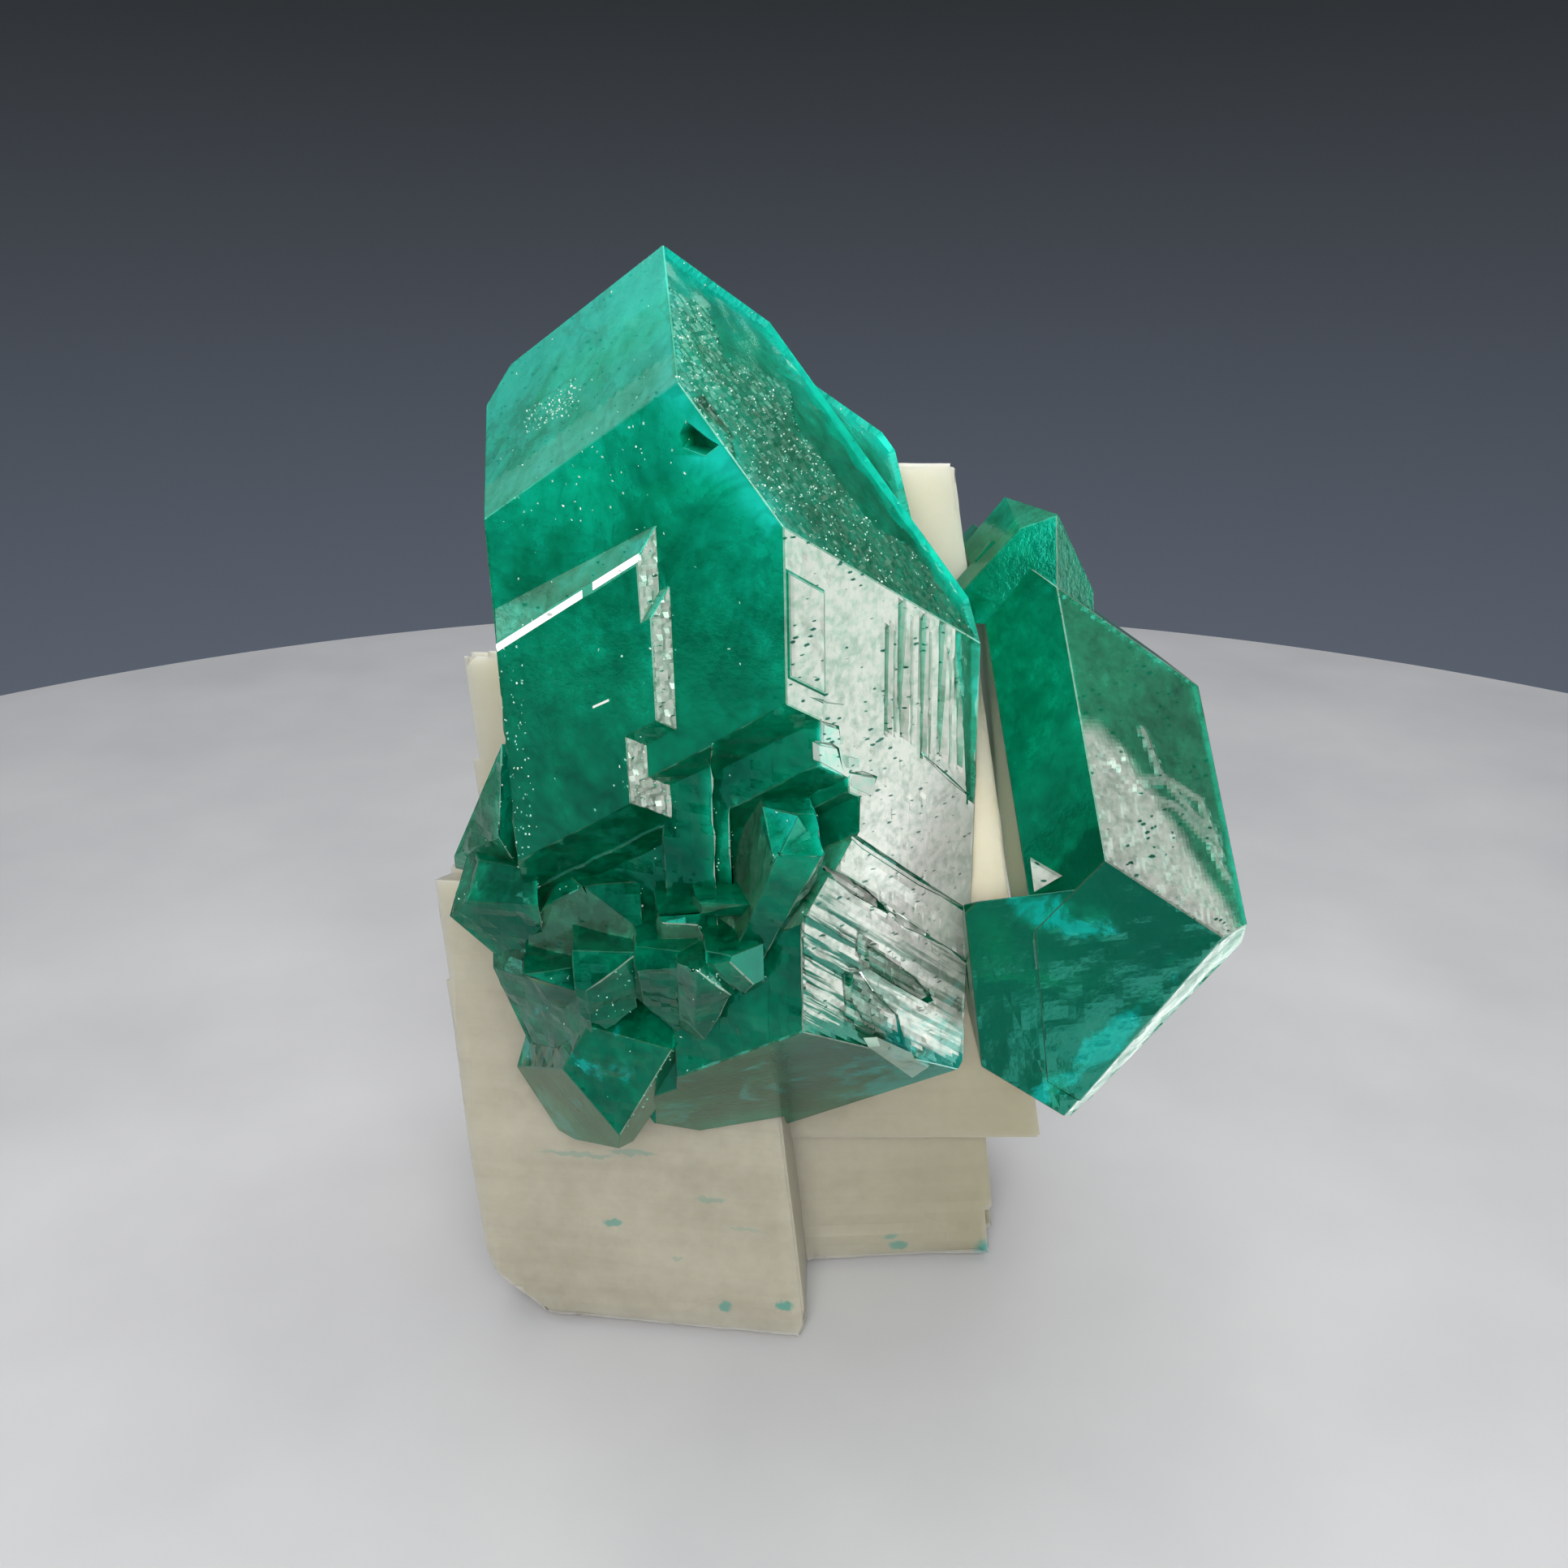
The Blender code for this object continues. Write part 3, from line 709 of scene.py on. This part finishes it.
# A broken pit high on the front left face, below the roof.
ROOF_PIT = [(-1.94, 1.12, 7.93), (-1.43, 0.825, 7.53), (-1.12, 0.646, 7.37), (-1.48, 0.854, 7.08),
            (-2.04, 1.178, 7.24), (-2.11, 1.218, 7.60)]


def on_front_right(across, height):
    return ACROSS_FRONT_RIGHT * across + Vector((0, 0, height))


def away_from(line, across, height):
    """How far a point lies from a line of points."""
    point, nearest = Vector((across, height)), 99.0
    for start, end in zip(line, line[1:]):
        start, end = Vector(start), Vector(end)
        share = min(max((point - start).dot(end - start) / (end - start).length_squared, 0.0), 1.0)
        nearest = min(nearest, (point - start - (end - start) * share).length)
    return nearest


def inside(outline, across, height):
    """Whether a place on a face lies inside a closed outline."""
    found = False
    for (x, z), (next_x, next_z) in zip(outline, outline[1:] + outline[:1]):
        if (z > height) != (next_z > height) and across < x + (height - z) * (next_x - x) / (next_z - z):
            found = not found
    return found


def grooved(point):
    """How deep an upright groove is at a point of the front right face, and how much of it is open."""
    across, z, depth, share = point.dot(ACROSS_FRONT_RIGHT), point.z, 0.0, 0.0
    for at_top, at_bottom, top, bottom, half, deep in GROOVES:
        if bottom < z < top:
            middle = at_bottom + (at_top - at_bottom) * (z - bottom) / (top - bottom)
            open_here = smooth(1.7 * half, 0.3 * half, abs(across - middle))
            depth, share = max(depth, deep * open_here), max(share, open_here * min(deep / 0.1, 1.0))
    return depth, share


def silver(point):
    """How silvery the front right face is: less in its grooves and hollows, a painted shade there, hardly
    below its lower end.
    """
    across = point.dot(ACROSS_FRONT_RIGHT)
    if teal_edge(point) > 0.0 or point.z < between(ETCHED_TO, across) + 0.04:
        return 0.12
    if any(inside(outline, across, point.z) for outline in HOLLOWS):
        return 0.6
    brighter = 0.08 * smooth(1.5, -2.0, point.z) * smooth(1.2, 3.0, across)
    return (1.0 + brighter) * (1.0 - 0.62 * grooved(point)[1])


def teal_edge(point):
    """How far a point lies past the line where the face turns into its narrow right bevel."""
    return point.dot(PAST_TEAL_LINE) - TEAL_LINE if point.z > -2.0 else -1.0


def striae(point):
    """Where fine striae crowd the front right face: low at its left, and in its lower right part."""
    across, z = point.dot(ACROSS_FRONT_RIGHT), point.z
    low = smooth(-2.2, -3.6, z + 0.3 * across)
    return low * (smooth(2.6, 1.8, across) + 0.8 * smooth(-4.6, -5.4, z + 0.5 * (across - 3.5)))


def etch(point):
    """The depth of the front right face: upright grooves above, slanting terraces below, fine pits."""
    across, slant, z = point.dot(ACROSS_FRONT_RIGHT), point.dot(STRIAE), point.z
    depth = grooved(point)[0]
    if any(inside(outline, across, z) for outline in HOLLOWS):
        depth += 0.07
    low = smooth(-1.0, -3.6, z + 0.35 * (across - 2.5))
    left_strip = low * smooth(2.6, 1.9, across)
    broad = noise.noise(Vector((slant * 1.6, across * 0.16, 1.7)))
    depth += low * 0.13 * max(0.0, terrace(broad + 0.2, 7))
    fine = noise.noise(Vector((slant * 5.5, across * 0.35, 7.1)))
    depth += (0.25 * low + left_strip) * 0.07 * max(0.0, terrace(fine + 0.15, 4))
    dash = noise.noise(Vector((across * 4.0, slant * 11.0, 2.3)))
    where = noise.noise(Vector((across * 0.7, z * 0.5, 8.8)))
    depth += 0.03 * smooth(0.46, 0.6, dash + 0.25 * where)
    depth += 0.35 * max(0.0, teal_edge(point))
    return depth + 0.004 * noise.noise(point * 9.0)


def roof_grain(point):
    """The depth of the right roof face: a grainy layer, and a lower smooth part behind its edge."""
    across = point.dot(ACROSS_ROOF_RIGHT)
    past = smooth(-0.05, 0.05, across - between(ROUGH_LAYER_EDGE, point.z))
    rough = 0.03 * (noise.noise(point * 8.0) + 0.3) + 0.02 * noise.noise(point * 19.0)
    soft = ROUGH_LAYER + 0.05 * noise.noise(point * 1.7)
    return rough * (1 - past) + soft * past


def facet(block, points, normal, height, value, lean=Vector()):
    """A small raised face: a flat slip of crystal, rooted in the face it lies on. It may lean to one side."""
    centre = sum(points, Vector()) / len(points)
    top = [block.verts.new(centre + (p - centre) * 0.88 + normal * (height + lean.dot(p - centre)))
           for p in points]
    root = [block.verts.new(p - normal * 0.12) for p in points]
    made = [block.faces.new(corners) for corners in (top, root[::-1], *ring(top, root))]
    made[0].normal_update()
    if made[0].normal.dot(normal) < 0:
        bmesh.ops.reverse_faces(block, faces=made)
    set_etch_and_sheen(block, made, value)


def faint(scale, depth):
    """A gentle unevenness for a face that looks smooth from a step away."""
    return lambda point: depth * (noise.noise(point * scale) + 0.3 * noise.noise(point * scale * 4))


def growth_steps(block, azimuths, seed):
    """Low upright growth steps on the prism faces at the sides and back, and dimples on the back roof."""
    for azimuth in azimuths:
        way, sideways = facing(azimuth, 0), facing(azimuth + 90, 0)
        faces = diced(block, faces_along(block, way), (sideways, 0.22), (SQUARE[2], 0.5))
        sink(faces, way, lambda p: 0.09 * terrace(0.5 + noise.noise(
            Vector((p.dot(sideways) * 0.85, p.z * 0.09, seed + azimuth * 0.1))), 7) + faint(2.0, 0.015)(p))
    back = facing(180, END_FACE_RISE)
    sink(diced(block, faces_along(block, back), (SQUARE[0], 0.35), (SQUARE[1], 0.35)), back, faint(1.1, 0.07))


def on_foot(face):
    """Whether a face belongs to the broken steps or the small crystals, not to the large crystal itself."""
    middle, normal = face.calc_center_median(), face.normal
    on_left, on_right = middle.dot(FRONT_LEFT), middle.dot(FRONT_RIGHT)
    own = (normal.dot(FRONT_LEFT) > 0.99 and (abs(on_left) < 0.03 or abs(on_left - 0.45) < 0.03)
           or normal.dot(FRONT_RIGHT) > 0.9 and -0.9 < on_right or middle.dot(UNDER_FRONT) > 7.3)
    return -9.0 < middle.z < 1.4 and max(on_left, on_right) > -1.6 and normal.y < 0.5 and not own


def uneven_break(point):
    """The depth of a broken face: shallow shells and steps."""
    return 0.07 * terrace(0.5 + noise.noise(point * 1.3), 5) + 0.05 * noise.noise(point * 3.1)


def set_etch_and_sheen(block, faces, value):
    """How much etching and painted sheen faces get: 0 is clear, 0.1 to 0.3 a little dull, 1 silvery, partly a
    painted sheen, and more than 1 a painted near-white highlight.
    """
    layer = block.faces.layers.float["etch_and_sheen"]
    for face in faces:
        face[layer] = value


def wear_edges(block, width=0.025):
    """Breaks the crystal's outer edges with a hair of a bevel, which catches the light. The bevel is also
    painted a little silvery, more where it faces front right, a painted edge highlight.
    """
    worn = bmesh.ops.bevel(block, geom=outer_edges(block, 0.35, radians(18)), offset=width, segments=1,
                           affect="EDGES", clamp_overlap=False)
    block.normal_update()
    set_etch_and_sheen(block, worn["faces"], 0.1)
    set_etch_and_sheen(block, [face for face in worn["faces"] if face.normal.dot(FRONT_RIGHT) > 0.8], 0.55)


def evenly_cut(block):
    """Cuts the large faces that are left, so that each has points enough for its shades."""
    for axis in SQUARE:
        diced(block, [face for face in block.faces if face.calc_area() > 0.25], (axis, 0.6))


def shade(vert, painted_glow):
    """The painted light and shade of a point of the large crystal, how many grains grow on it, and how many
    painted flecks of inner light show.
    """
    point, normal, grains = vert.co, vert.normal, 0.0
    # Painted light: lighter where the crystal behind is shallow and higher up, darker low down.
    light = painted_glow * (0.3 + 0.7 * smooth(-6, 6, point.z)) + 0.25 * smooth(-4, 9, point.z) - 0.05
    light -= 0.09 * smooth(2, -4, point.z)
    in_front = point.dot(FRONT_LEFT)
    # Painted light: the lower front face is lighter.
    if normal.dot(UNDER_FRONT) > 0.95 and point.dot(UNDER_FRONT) > 7.0:
        light += 0.2
    # Painted shade in the pit below the roof.
    in_pit = -0.7 < in_front < -0.03 and 6.6 < point.z < 8.3 and -2.4 < point.x < -0.9
    if in_pit:
        light -= 0.5
    # Painted shade: the right roof face is a little darker.
    if normal.dot(ROOF_RIGHT) > 0.9 and point.dot(ROOF_RIGHT) > 3.2:
        past = point.dot(ACROSS_ROOF_RIGHT) > between(ROUGH_LAYER_EDGE, point.z)
        light += -0.07 if past else -0.06
        grains = 0.02 if past else 0.15 + 0.5 * smooth(3.0, 6.5, point.z)
    # Painted light: the left roof face is lighter.
    if normal.dot(ROOF_LEFT) > 0.95:
        streak = smooth(0.3, 0.05, away_from(GLINT_STREAK, point.x, point.z))
        light += 0.22
        grains = (0.02 if in_front < -0.8 else 0.07) + 3.0 * streak
    if normal.dot(FRONT_LEFT) > 0.9:
        grains = 0.01 + 0.55 * smooth(4.5, 8.5, point.z) * smooth(-1.5, -4.0, point.x)
        if 0.3 < in_front < 0.5:
            grains += 1.2 * smooth(-5.8, -6.2, point.x) * smooth(3.4, 2.6, point.z)
    if normal.dot(FRONT_RIGHT) > 0.9 and point.dot(FRONT_RIGHT) < -1.0:
        grains = 0.8
    return light, grains, smooth(-6, -9, point.z) * (0.5 + 0.35 * smooth(0.5, 3.5, point.x))


# The slits, gashes and the pit are cut into the solid first.
axes = crystal_axes(CRYSTAL_PLACE, CRYSTAL_TURN, AXES_POINT)
crystal = solid_copy("main_crystal")
bmesh.ops.transform(crystal, matrix=axes.inverted(), verts=crystal.verts)
cutters = bmesh.new()
for line, width, depth in SLITS:
    prism(cutters, trough([on_front_right(*p) for p in line], width, FRONT_RIGHT), FRONT_RIGHT, depth, 0.98)
for outline, depth, floor in GASHES:
    prism(cutters, [on_front_right(*p) for p in outline], FRONT_RIGHT, depth, floor)
prism(cutters, [Vector(p) for p in ROOF_PIT], FRONT_LEFT, 0.5, 0.6)
crystal = carved(crystal, cutters, "main")
crystal.normal_update()
etch_and_sheen_layer = crystal.faces.layers.float.new("etch_and_sheen")
striated_layer = crystal.faces.layers.float.new("striated")
glint_layer = crystal.verts.layers.float.new("glint")
glint_fleck_layer = crystal.verts.layers.float.new("glint_fleck")

# The slope above the plate widens to the left. The plate's upper edge is cut off by a narrow face painted
# near white, a painted highlight, which breaks once.
for vert in crystal.verts:
    if abs(vert.co.dot(FRONT_LEFT)) < 0.02 and abs(vert.co.dot(ROOF_LEFT) - PLATE_TOP) < 0.03:
        vert.co.z += 0.45 * smooth(-2.96, -6.2, vert.co.x)
crystal.normal_update()
slope = [face for face in crystal.faces
         if 0.02 < face.calc_center_median().dot(FRONT_LEFT) < 0.42 and face.calc_center_median().z > 2.0
         and 0.5 < face.normal.dot(FRONT_LEFT) < 0.97 and face.normal.z > 0.2]
set_etch_and_sheen(crystal, slope, 0.22)
rim = [edge for face in slope for edge in face.edges if edge.calc_length() > 0.4
       and any(other.normal.dot(FRONT_LEFT) > 0.999 and other.calc_center_median().dot(FRONT_LEFT) > 0.2
               for other in edge.link_faces)]
rim = bmesh.ops.bevel(crystal, geom=rim, offset=RIM_WIDTH, segments=1, affect="EDGES", clamp_overlap=True)
rim = cut_through(crystal, rim["faces"], SQUARE[0], RIM_BREAK)
set_etch_and_sheen(crystal, rim, 1.5)
set_etch_and_sheen(crystal, [face for face in rim if RIM_BREAK[0] < face.calc_center_median().x < RIM_BREAK[1]], 0.1)
crystal.normal_update()
wear_edges(crystal)

# The silvery front right face, cut finely enough for its grooves and striae. Its silver is partly a painted
# sheen.
chosen = faces_along(crystal, FRONT_RIGHT, -1.2, 0.2)
lines = sorted({*steps_across(chosen, ACROSS_FRONT_RIGHT, 0.13),
                *((at_top + at_bottom) / 2 + side * 0.05 for at_top, at_bottom, *_ in GROOVES
                  for side in (-1.2, -0.4, 0.4, 1.2))})
chosen = cut_through(crystal, chosen, ACROSS_FRONT_RIGHT, lines)
chosen = diced(crystal, chosen, (STRIAE, 0.09))
chosen = cut_through(crystal, chosen, PAST_TEAL_LINE, [TEAL_LINE])
sink(chosen, FRONT_RIGHT, etch)
for face in chosen:
    middle = face.calc_center_median()
    face[striated_layer] = striae(middle)
    face[etch_and_sheen_layer] = silver(middle)

# The plate's broken edges and the rough right roof face, painted silvery in places, partly a painted sheen;
# and the left roof face, with a painted greyish sheen that is stronger in its lower band.
broken = faces_along(crystal, FRONT_RIGHT, -99.0, -1.2)
set_etch_and_sheen(crystal, broken, 0.9)
sink(diced(crystal, broken, (ACROSS_FRONT_RIGHT, 0.1), (SQUARE[2], 0.12)), FRONT_RIGHT, faint(6.0, 0.13))
roof = faces_along(crystal, ROOF_RIGHT)
roof = diced(crystal, roof, (ACROSS_ROOF_RIGHT, 0.11), (ROOF_RIGHT.cross(ACROSS_ROOF_RIGHT), 0.11))
sink(roof, ROOF_RIGHT, roof_grain)
for face in roof:
    middle = face.calc_center_median()
    past = middle.dot(ACROSS_ROOF_RIGHT) > between(ROUGH_LAYER_EDGE, middle.z)
    face[etch_and_sheen_layer] = 0.0 if past else 0.05 + 0.4 * max(0.0, noise.noise(middle * 6.5) + 0.1)
across = Vector((cos(radians(-60)), sin(radians(-60)), 0))
roof = diced(crystal, faces_along(crystal, ROOF_LEFT), (across, 0.2), (ROOF_LEFT.cross(across), 0.2))
sink(roof, ROOF_LEFT, faint(2.5, 0.02))
for face in roof:
    face[etch_and_sheen_layer] = 0.24 if face.calc_center_median().dot(FRONT_LEFT) > -0.75 else 0.13
growth_steps(crystal, (90, 150, 210, 270), 1.0)

# Some of the small crystals' faces on the foot are painted dull and greyish, a painted reflection, mostly on
# faces that look down under the plate or to the left; others are clear.
crystal.normal_update()
OWN_WAYS = [facing(azimuth, 0) for azimuth in range(-150, 211, 60)] + [ROOF_LEFT, ROOF_RIGHT, UNDER_FRONT]
for face in crystal.faces:
    middle = face.calc_center_median()
    if middle.z < -1.5 and face[etch_and_sheen_layer] == 0.0 and all(face.normal.dot(way) < 0.995 for way in OWN_WAYS):
        tone = noise.noise(face.normal * 2.7 + Vector((middle.dot(face.normal) * 1.3, 0.0, 4.0)))
        under_plate = face.normal.z < -0.4 and 0.0 < middle.dot(FRONT_LEFT) < 0.46 and middle.z > -5.0
        face[etch_and_sheen_layer] = 0.2 if under_plate else 0.15 * smooth(0.4, 0.75, 0.5 * tone - 0.9 * face.normal.x)

# The broken steps between the plate and the foot, and the small crystals there, are uneven.
broken = [face for face in crystal.faces if on_foot(face)]
for axis in SQUARE:
    large_ones = [face for face in broken if face.calc_area() > 0.06]
    small_ones = [face for face in broken if face.calc_area() <= 0.06]
    broken = small_ones + diced(crystal, large_ones, (axis, 0.24))
crystal.normal_update()
chosen = set(broken)
for vert in {vert for face in broken for vert in face.verts}:
    if all(face in chosen for face in vert.link_faces):
        vert.co -= vert.normal * uneven_break(vert.co)
evenly_cut(crystal)
facet(crystal, [Vector(p) for p in BRIGHT_BAR], UNDER_FRONT, 0.07, 0.8)
facet(crystal, [Vector(p) for p in BRIGHT_LINE], FRONT_LEFT, 0.02, 1.4)
for outline, lean in CHIPS:
    facet(crystal, [on_front_right(*p) for p in outline], FRONT_RIGHT, 0.06, 1.0, Vector(lean))

painted_glow_layer = thinness(crystal)
crystal.normal_update()
for vert in crystal.verts:
    vert[painted_glow_layer], vert[glint_layer], vert[glint_fleck_layer] = shade(vert, vert[painted_glow_layer])
bmesh.ops.transform(crystal, matrix=axes, verts=crystal.verts)

green = dioptase_material("dioptase_green")
large = piece("large_dioptase", crystal, green)
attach(large, "root")
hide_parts("main_crystal")


# Tiny upright growth grains cover the rough roof face and the plate's broken edges. They are the same
# dioptase, grown on the large crystal, and each mirrors the light its own way.
# The grains' pale, nearly white colours are painted glints.
GRAIN_SIZE = (0.1, 0.07, 0.035)
GRAINS = (("Grains per square mm", 30.0), ("Smallest", 0.22), ("Largest", 0.62), ("Seed", 4))


def glint_material():
    """Green to nearly white, and glossy. The pale grains are painted glints."""
    made, tree, shader = new_material("dioptase_glint")
    varied = mottling(tree, object_place(tree), 9000.0, 1.0)
    tone = ramp(tree, varied, [(0.35, (0.06, 0.36, 0.26)), (0.52, (0.36, 0.58, 0.50)),
                               (0.68, (0.86, 0.92, 0.88))])
    tree.links.new(tone, shader.inputs["Base Color"])
    shader.inputs["Roughness"].default_value = 0.25
    return made


def grain_tree(finish):
    """Scatters flat tilted grains over a surface, more of them where its glint value is high."""
    tree = bpy.data.node_groups.new("glint_grains", "GeometryNodeTree")
    face = tree.interface
    face.new_socket("Surface", in_out="INPUT", socket_type="NodeSocketGeometry")
    for label, kind in (("Grains per square mm", "NodeSocketFloat"), ("Smallest", "NodeSocketFloat"),
                        ("Largest", "NodeSocketFloat"), ("Seed", "NodeSocketInt")):
        face.new_socket(label, in_out="INPUT", socket_type=kind)
    face.new_socket("Grains", in_out="OUTPUT", socket_type="NodeSocketGeometry")
    given = tree.nodes.new("NodeGroupInput").outputs
    crowding = add_node(tree, "GeometryNodeInputNamedAttribute", data_type="FLOAT", Name="glint")
    per_metre = add_node(tree, "ShaderNodeMath", operation="MULTIPLY")
    per_metre.inputs[1].default_value = 1e6
    density = add_node(tree, "ShaderNodeMath", operation="MULTIPLY")
    scatter = tree.nodes.new("GeometryNodeDistributePointsOnFaces")
    grain = tree.nodes.new("GeometryNodeMeshCube")
    grain.inputs["Size"].default_value = [side * MM for side in GRAIN_SIZE]
    turn = add_node(tree, "FunctionNodeRandomValue", data_type="FLOAT_VECTOR")
    size = add_node(tree, "FunctionNodeRandomValue", data_type="FLOAT")
    place = tree.nodes.new("GeometryNodeInstanceOnPoints")
    whole = tree.nodes.new("GeometryNodeRealizeInstances")
    dress = tree.nodes.new("GeometryNodeSetMaterial")
    dress.inputs["Material"].default_value = finish
    result = tree.nodes.new("NodeGroupOutput")
    vectors = [socket for socket in turn.inputs if socket.type == "VECTOR"]
    vectors[0].default_value, vectors[1].default_value = (0, 0, 0), (6.28, 6.28, 6.28)
    low, high = [socket for socket in size.inputs if socket.type == "VALUE"][:2]
    for source, target in (
        (given["Grains per square mm"], per_metre.inputs[0]),
        (crowding.outputs["Attribute"], density.inputs[0]), (per_metre.outputs[0], density.inputs[1]),
        (given["Surface"], scatter.inputs["Mesh"]), (density.outputs[0], scatter.inputs["Density"]),
        (given["Seed"], scatter.inputs["Seed"]), (given["Seed"], turn.inputs["Seed"]),
        (given["Seed"], size.inputs["Seed"]), (given["Smallest"], low), (given["Largest"], high),
        (scatter.outputs["Points"], place.inputs["Points"]),
        (grain.outputs["Mesh"], place.inputs["Instance"]),
        (turn.outputs["Value"], place.inputs["Rotation"]), (size.outputs[1], place.inputs["Scale"]),
        (place.outputs["Instances"], whole.inputs["Geometry"]),
        (whole.outputs["Geometry"], dress.inputs["Geometry"]),
        (dress.outputs["Geometry"], result.inputs["Grains"]),
    ):
        tree.links.new(source, target)
    return tree


grains = bpy.data.objects.new("growth_grains", large.data.copy())
bpy.context.collection.objects.link(grains)
scattered = grains.modifiers.new("grains", "NODES")
scattered.node_group = grain_tree(glint_material())
sockets = {item.name: item.identifier for item in scattered.node_group.interface.items_tree}
for label, value in GRAINS:
    scattered[sockets[label]] = value
grown = bpy.data.meshes.new_from_object(grains.evaluated_get(bpy.context.evaluated_depsgraph_get()))
grains.modifiers.clear()
grains.data = grown
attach(grains, "root")


# The second dioptase crystal leans back beside the large one. It has the same faces, a broad layer at its
# lower left, and a small crystal grown on its shoulder.
SIDE_PLACE = (8.22, -1.48, 17.13)
SIDE_TURN = (-38.1, -8.3, -0.6)
# Below this line the front right face is etched: place across the face, and height.
ETCHED_BELOW = [(-2.60, 0.02), (-1.66, -0.51), (-0.72, -2.00), (0.20, -3.58), (1.20, -5.44)]
# Pale curved ridges on the front right face, by place across and height.
RIDGES = [
    [(-1.56, -0.64), (-1.35, -1.38), (-0.31, -1.35), (0.62, -1.87), (0.94, -3.26)],
    [(-0.80, -0.06), (-0.52, -1.14), (0.27, -2.20), (0.91, -2.84)],
    [(-1.90, -0.90), (-1.20, -1.75), (-0.20, -2.05), (0.60, -2.90), (1.00, -3.90)],
]
# Where turquoise flecks, painted glints of light caught inside, lie under the lower front face, by sideways
# place and height.
FLECKS = [
    [(-3.2, -8.9), (-1.2, -7.6), (0.2, -6.6), (0.6, -5.9)],
    [(-2.9, -4.3), (-2.2, -4.5), (-0.9, -4.9)],
]
# A silvery facet at the corner between the front left face and the lower front face. Its silver is partly a
# painted sheen.
CORNER_FACET = [(-2.60, -3.60, -3.10), (-1.90, -3.60, -3.66), (-2.60, -3.30, -3.92)]
# The narrow face below the right corner, which is uneven and painted a little grey, partly a painted sheen.
LOWER_EDGE = facing(60, -54)


def side_etch(point):
    """The depth of the second crystal's front right face: pale ridges stand proud of its uneven surface."""
    across = point.dot(ACROSS_FRONT_RIGHT)
    ridge = max(smooth(0.2, 0.0, away_from(line, across, point.z)) for line in RIDGES)
    rough = smooth(0.3, -0.5, point.z - between(ETCHED_BELOW, across))
    uneven = noise.noise(point * 2.2) + 0.5 * noise.noise(point * 7.0)
    return 0.08 - 0.07 * ridge + (0.012 + 0.05 * rough) * uneven


axes = crystal_axes(SIDE_PLACE, SIDE_TURN)
crystal = solid_copy("right_crystal")
bmesh.ops.transform(crystal, matrix=axes.inverted(), verts=crystal.verts)
crystal.normal_update()
etch_and_sheen_layer = crystal.faces.layers.float.new("etch_and_sheen")
glint_fleck_layer = crystal.verts.layers.float.new("glint_fleck")
wear_edges(crystal)
chosen = faces_along(crystal, FRONT_RIGHT, 2.9, 3.2)
chosen = diced(crystal, chosen, (ACROSS_FRONT_RIGHT, 0.1), (SQUARE[2], 0.1))
# Etched parts and pale ridges of this face are painted silvery, partly a painted sheen.
for face in chosen:
    middle = face.calc_center_median()
    across = middle.dot(ACROSS_FRONT_RIGHT)
    wavy = 0.3 * noise.noise(middle * 1.4)
    below = smooth(0.65, -0.45, middle.z + wavy - between(ETCHED_BELOW, across))
    ridge = max(smooth(0.2, 0.05, away_from(line, across, middle.z)) for line in RIDGES)
    face[etch_and_sheen_layer] = max(0.85 * below, 0.55 * ridge, 0.1)
sink(chosen, FRONT_RIGHT, side_etch)
under = faces_along(crystal, UNDER_FRONT, 5.0, 6.0)
sink(diced(crystal, under, (SQUARE[0], 0.2), (SQUARE[2], 0.15)), UNDER_FRONT, faint(1.6, 0.03))
facet(crystal, [Vector(p) for p in CORNER_FACET], (FRONT_LEFT + UNDER_FRONT).normalized(), 0.12, 0.95)
growth_steps(crystal, (90, 150, 210), 5.0)
lower_edge = faces_along(crystal, LOWER_EDGE) + faces_along(crystal, facing(-40, -75))
set_etch_and_sheen(crystal, lower_edge, 0.12)
sink(diced(crystal, lower_edge, *((way, 0.18) for way in SQUARE)), LOWER_EDGE, faint(1.5, 0.05))
evenly_cut(crystal)
painted_glow_layer = thinness(crystal)
crystal.normal_update()
# Painted light: the glow is weaker here and a little lighter higher up. The lower front face is painted
# darker, a painted shade, and lighter at its flecks, painted glints.
for vert in crystal.verts:
    vert[painted_glow_layer] = 0.6 * vert[painted_glow_layer] + 0.08 * smooth(-4, 4, vert.co.z) - 0.06
    if vert.co.dot(UNDER_FRONT) > 4.9:
        near = smooth(0.7, 0.1, min(away_from(line, vert.co.x, vert.co.z) for line in FLECKS))
        vert[glint_fleck_layer] = near
        vert[painted_glow_layer] = 0.15 * vert[painted_glow_layer] + 0.25 * near - 0.3
bmesh.ops.transform(crystal, matrix=axes, verts=crystal.verts)
side = piece("side_dioptase", crystal, green)
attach(side, "root")
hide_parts("right_crystal")
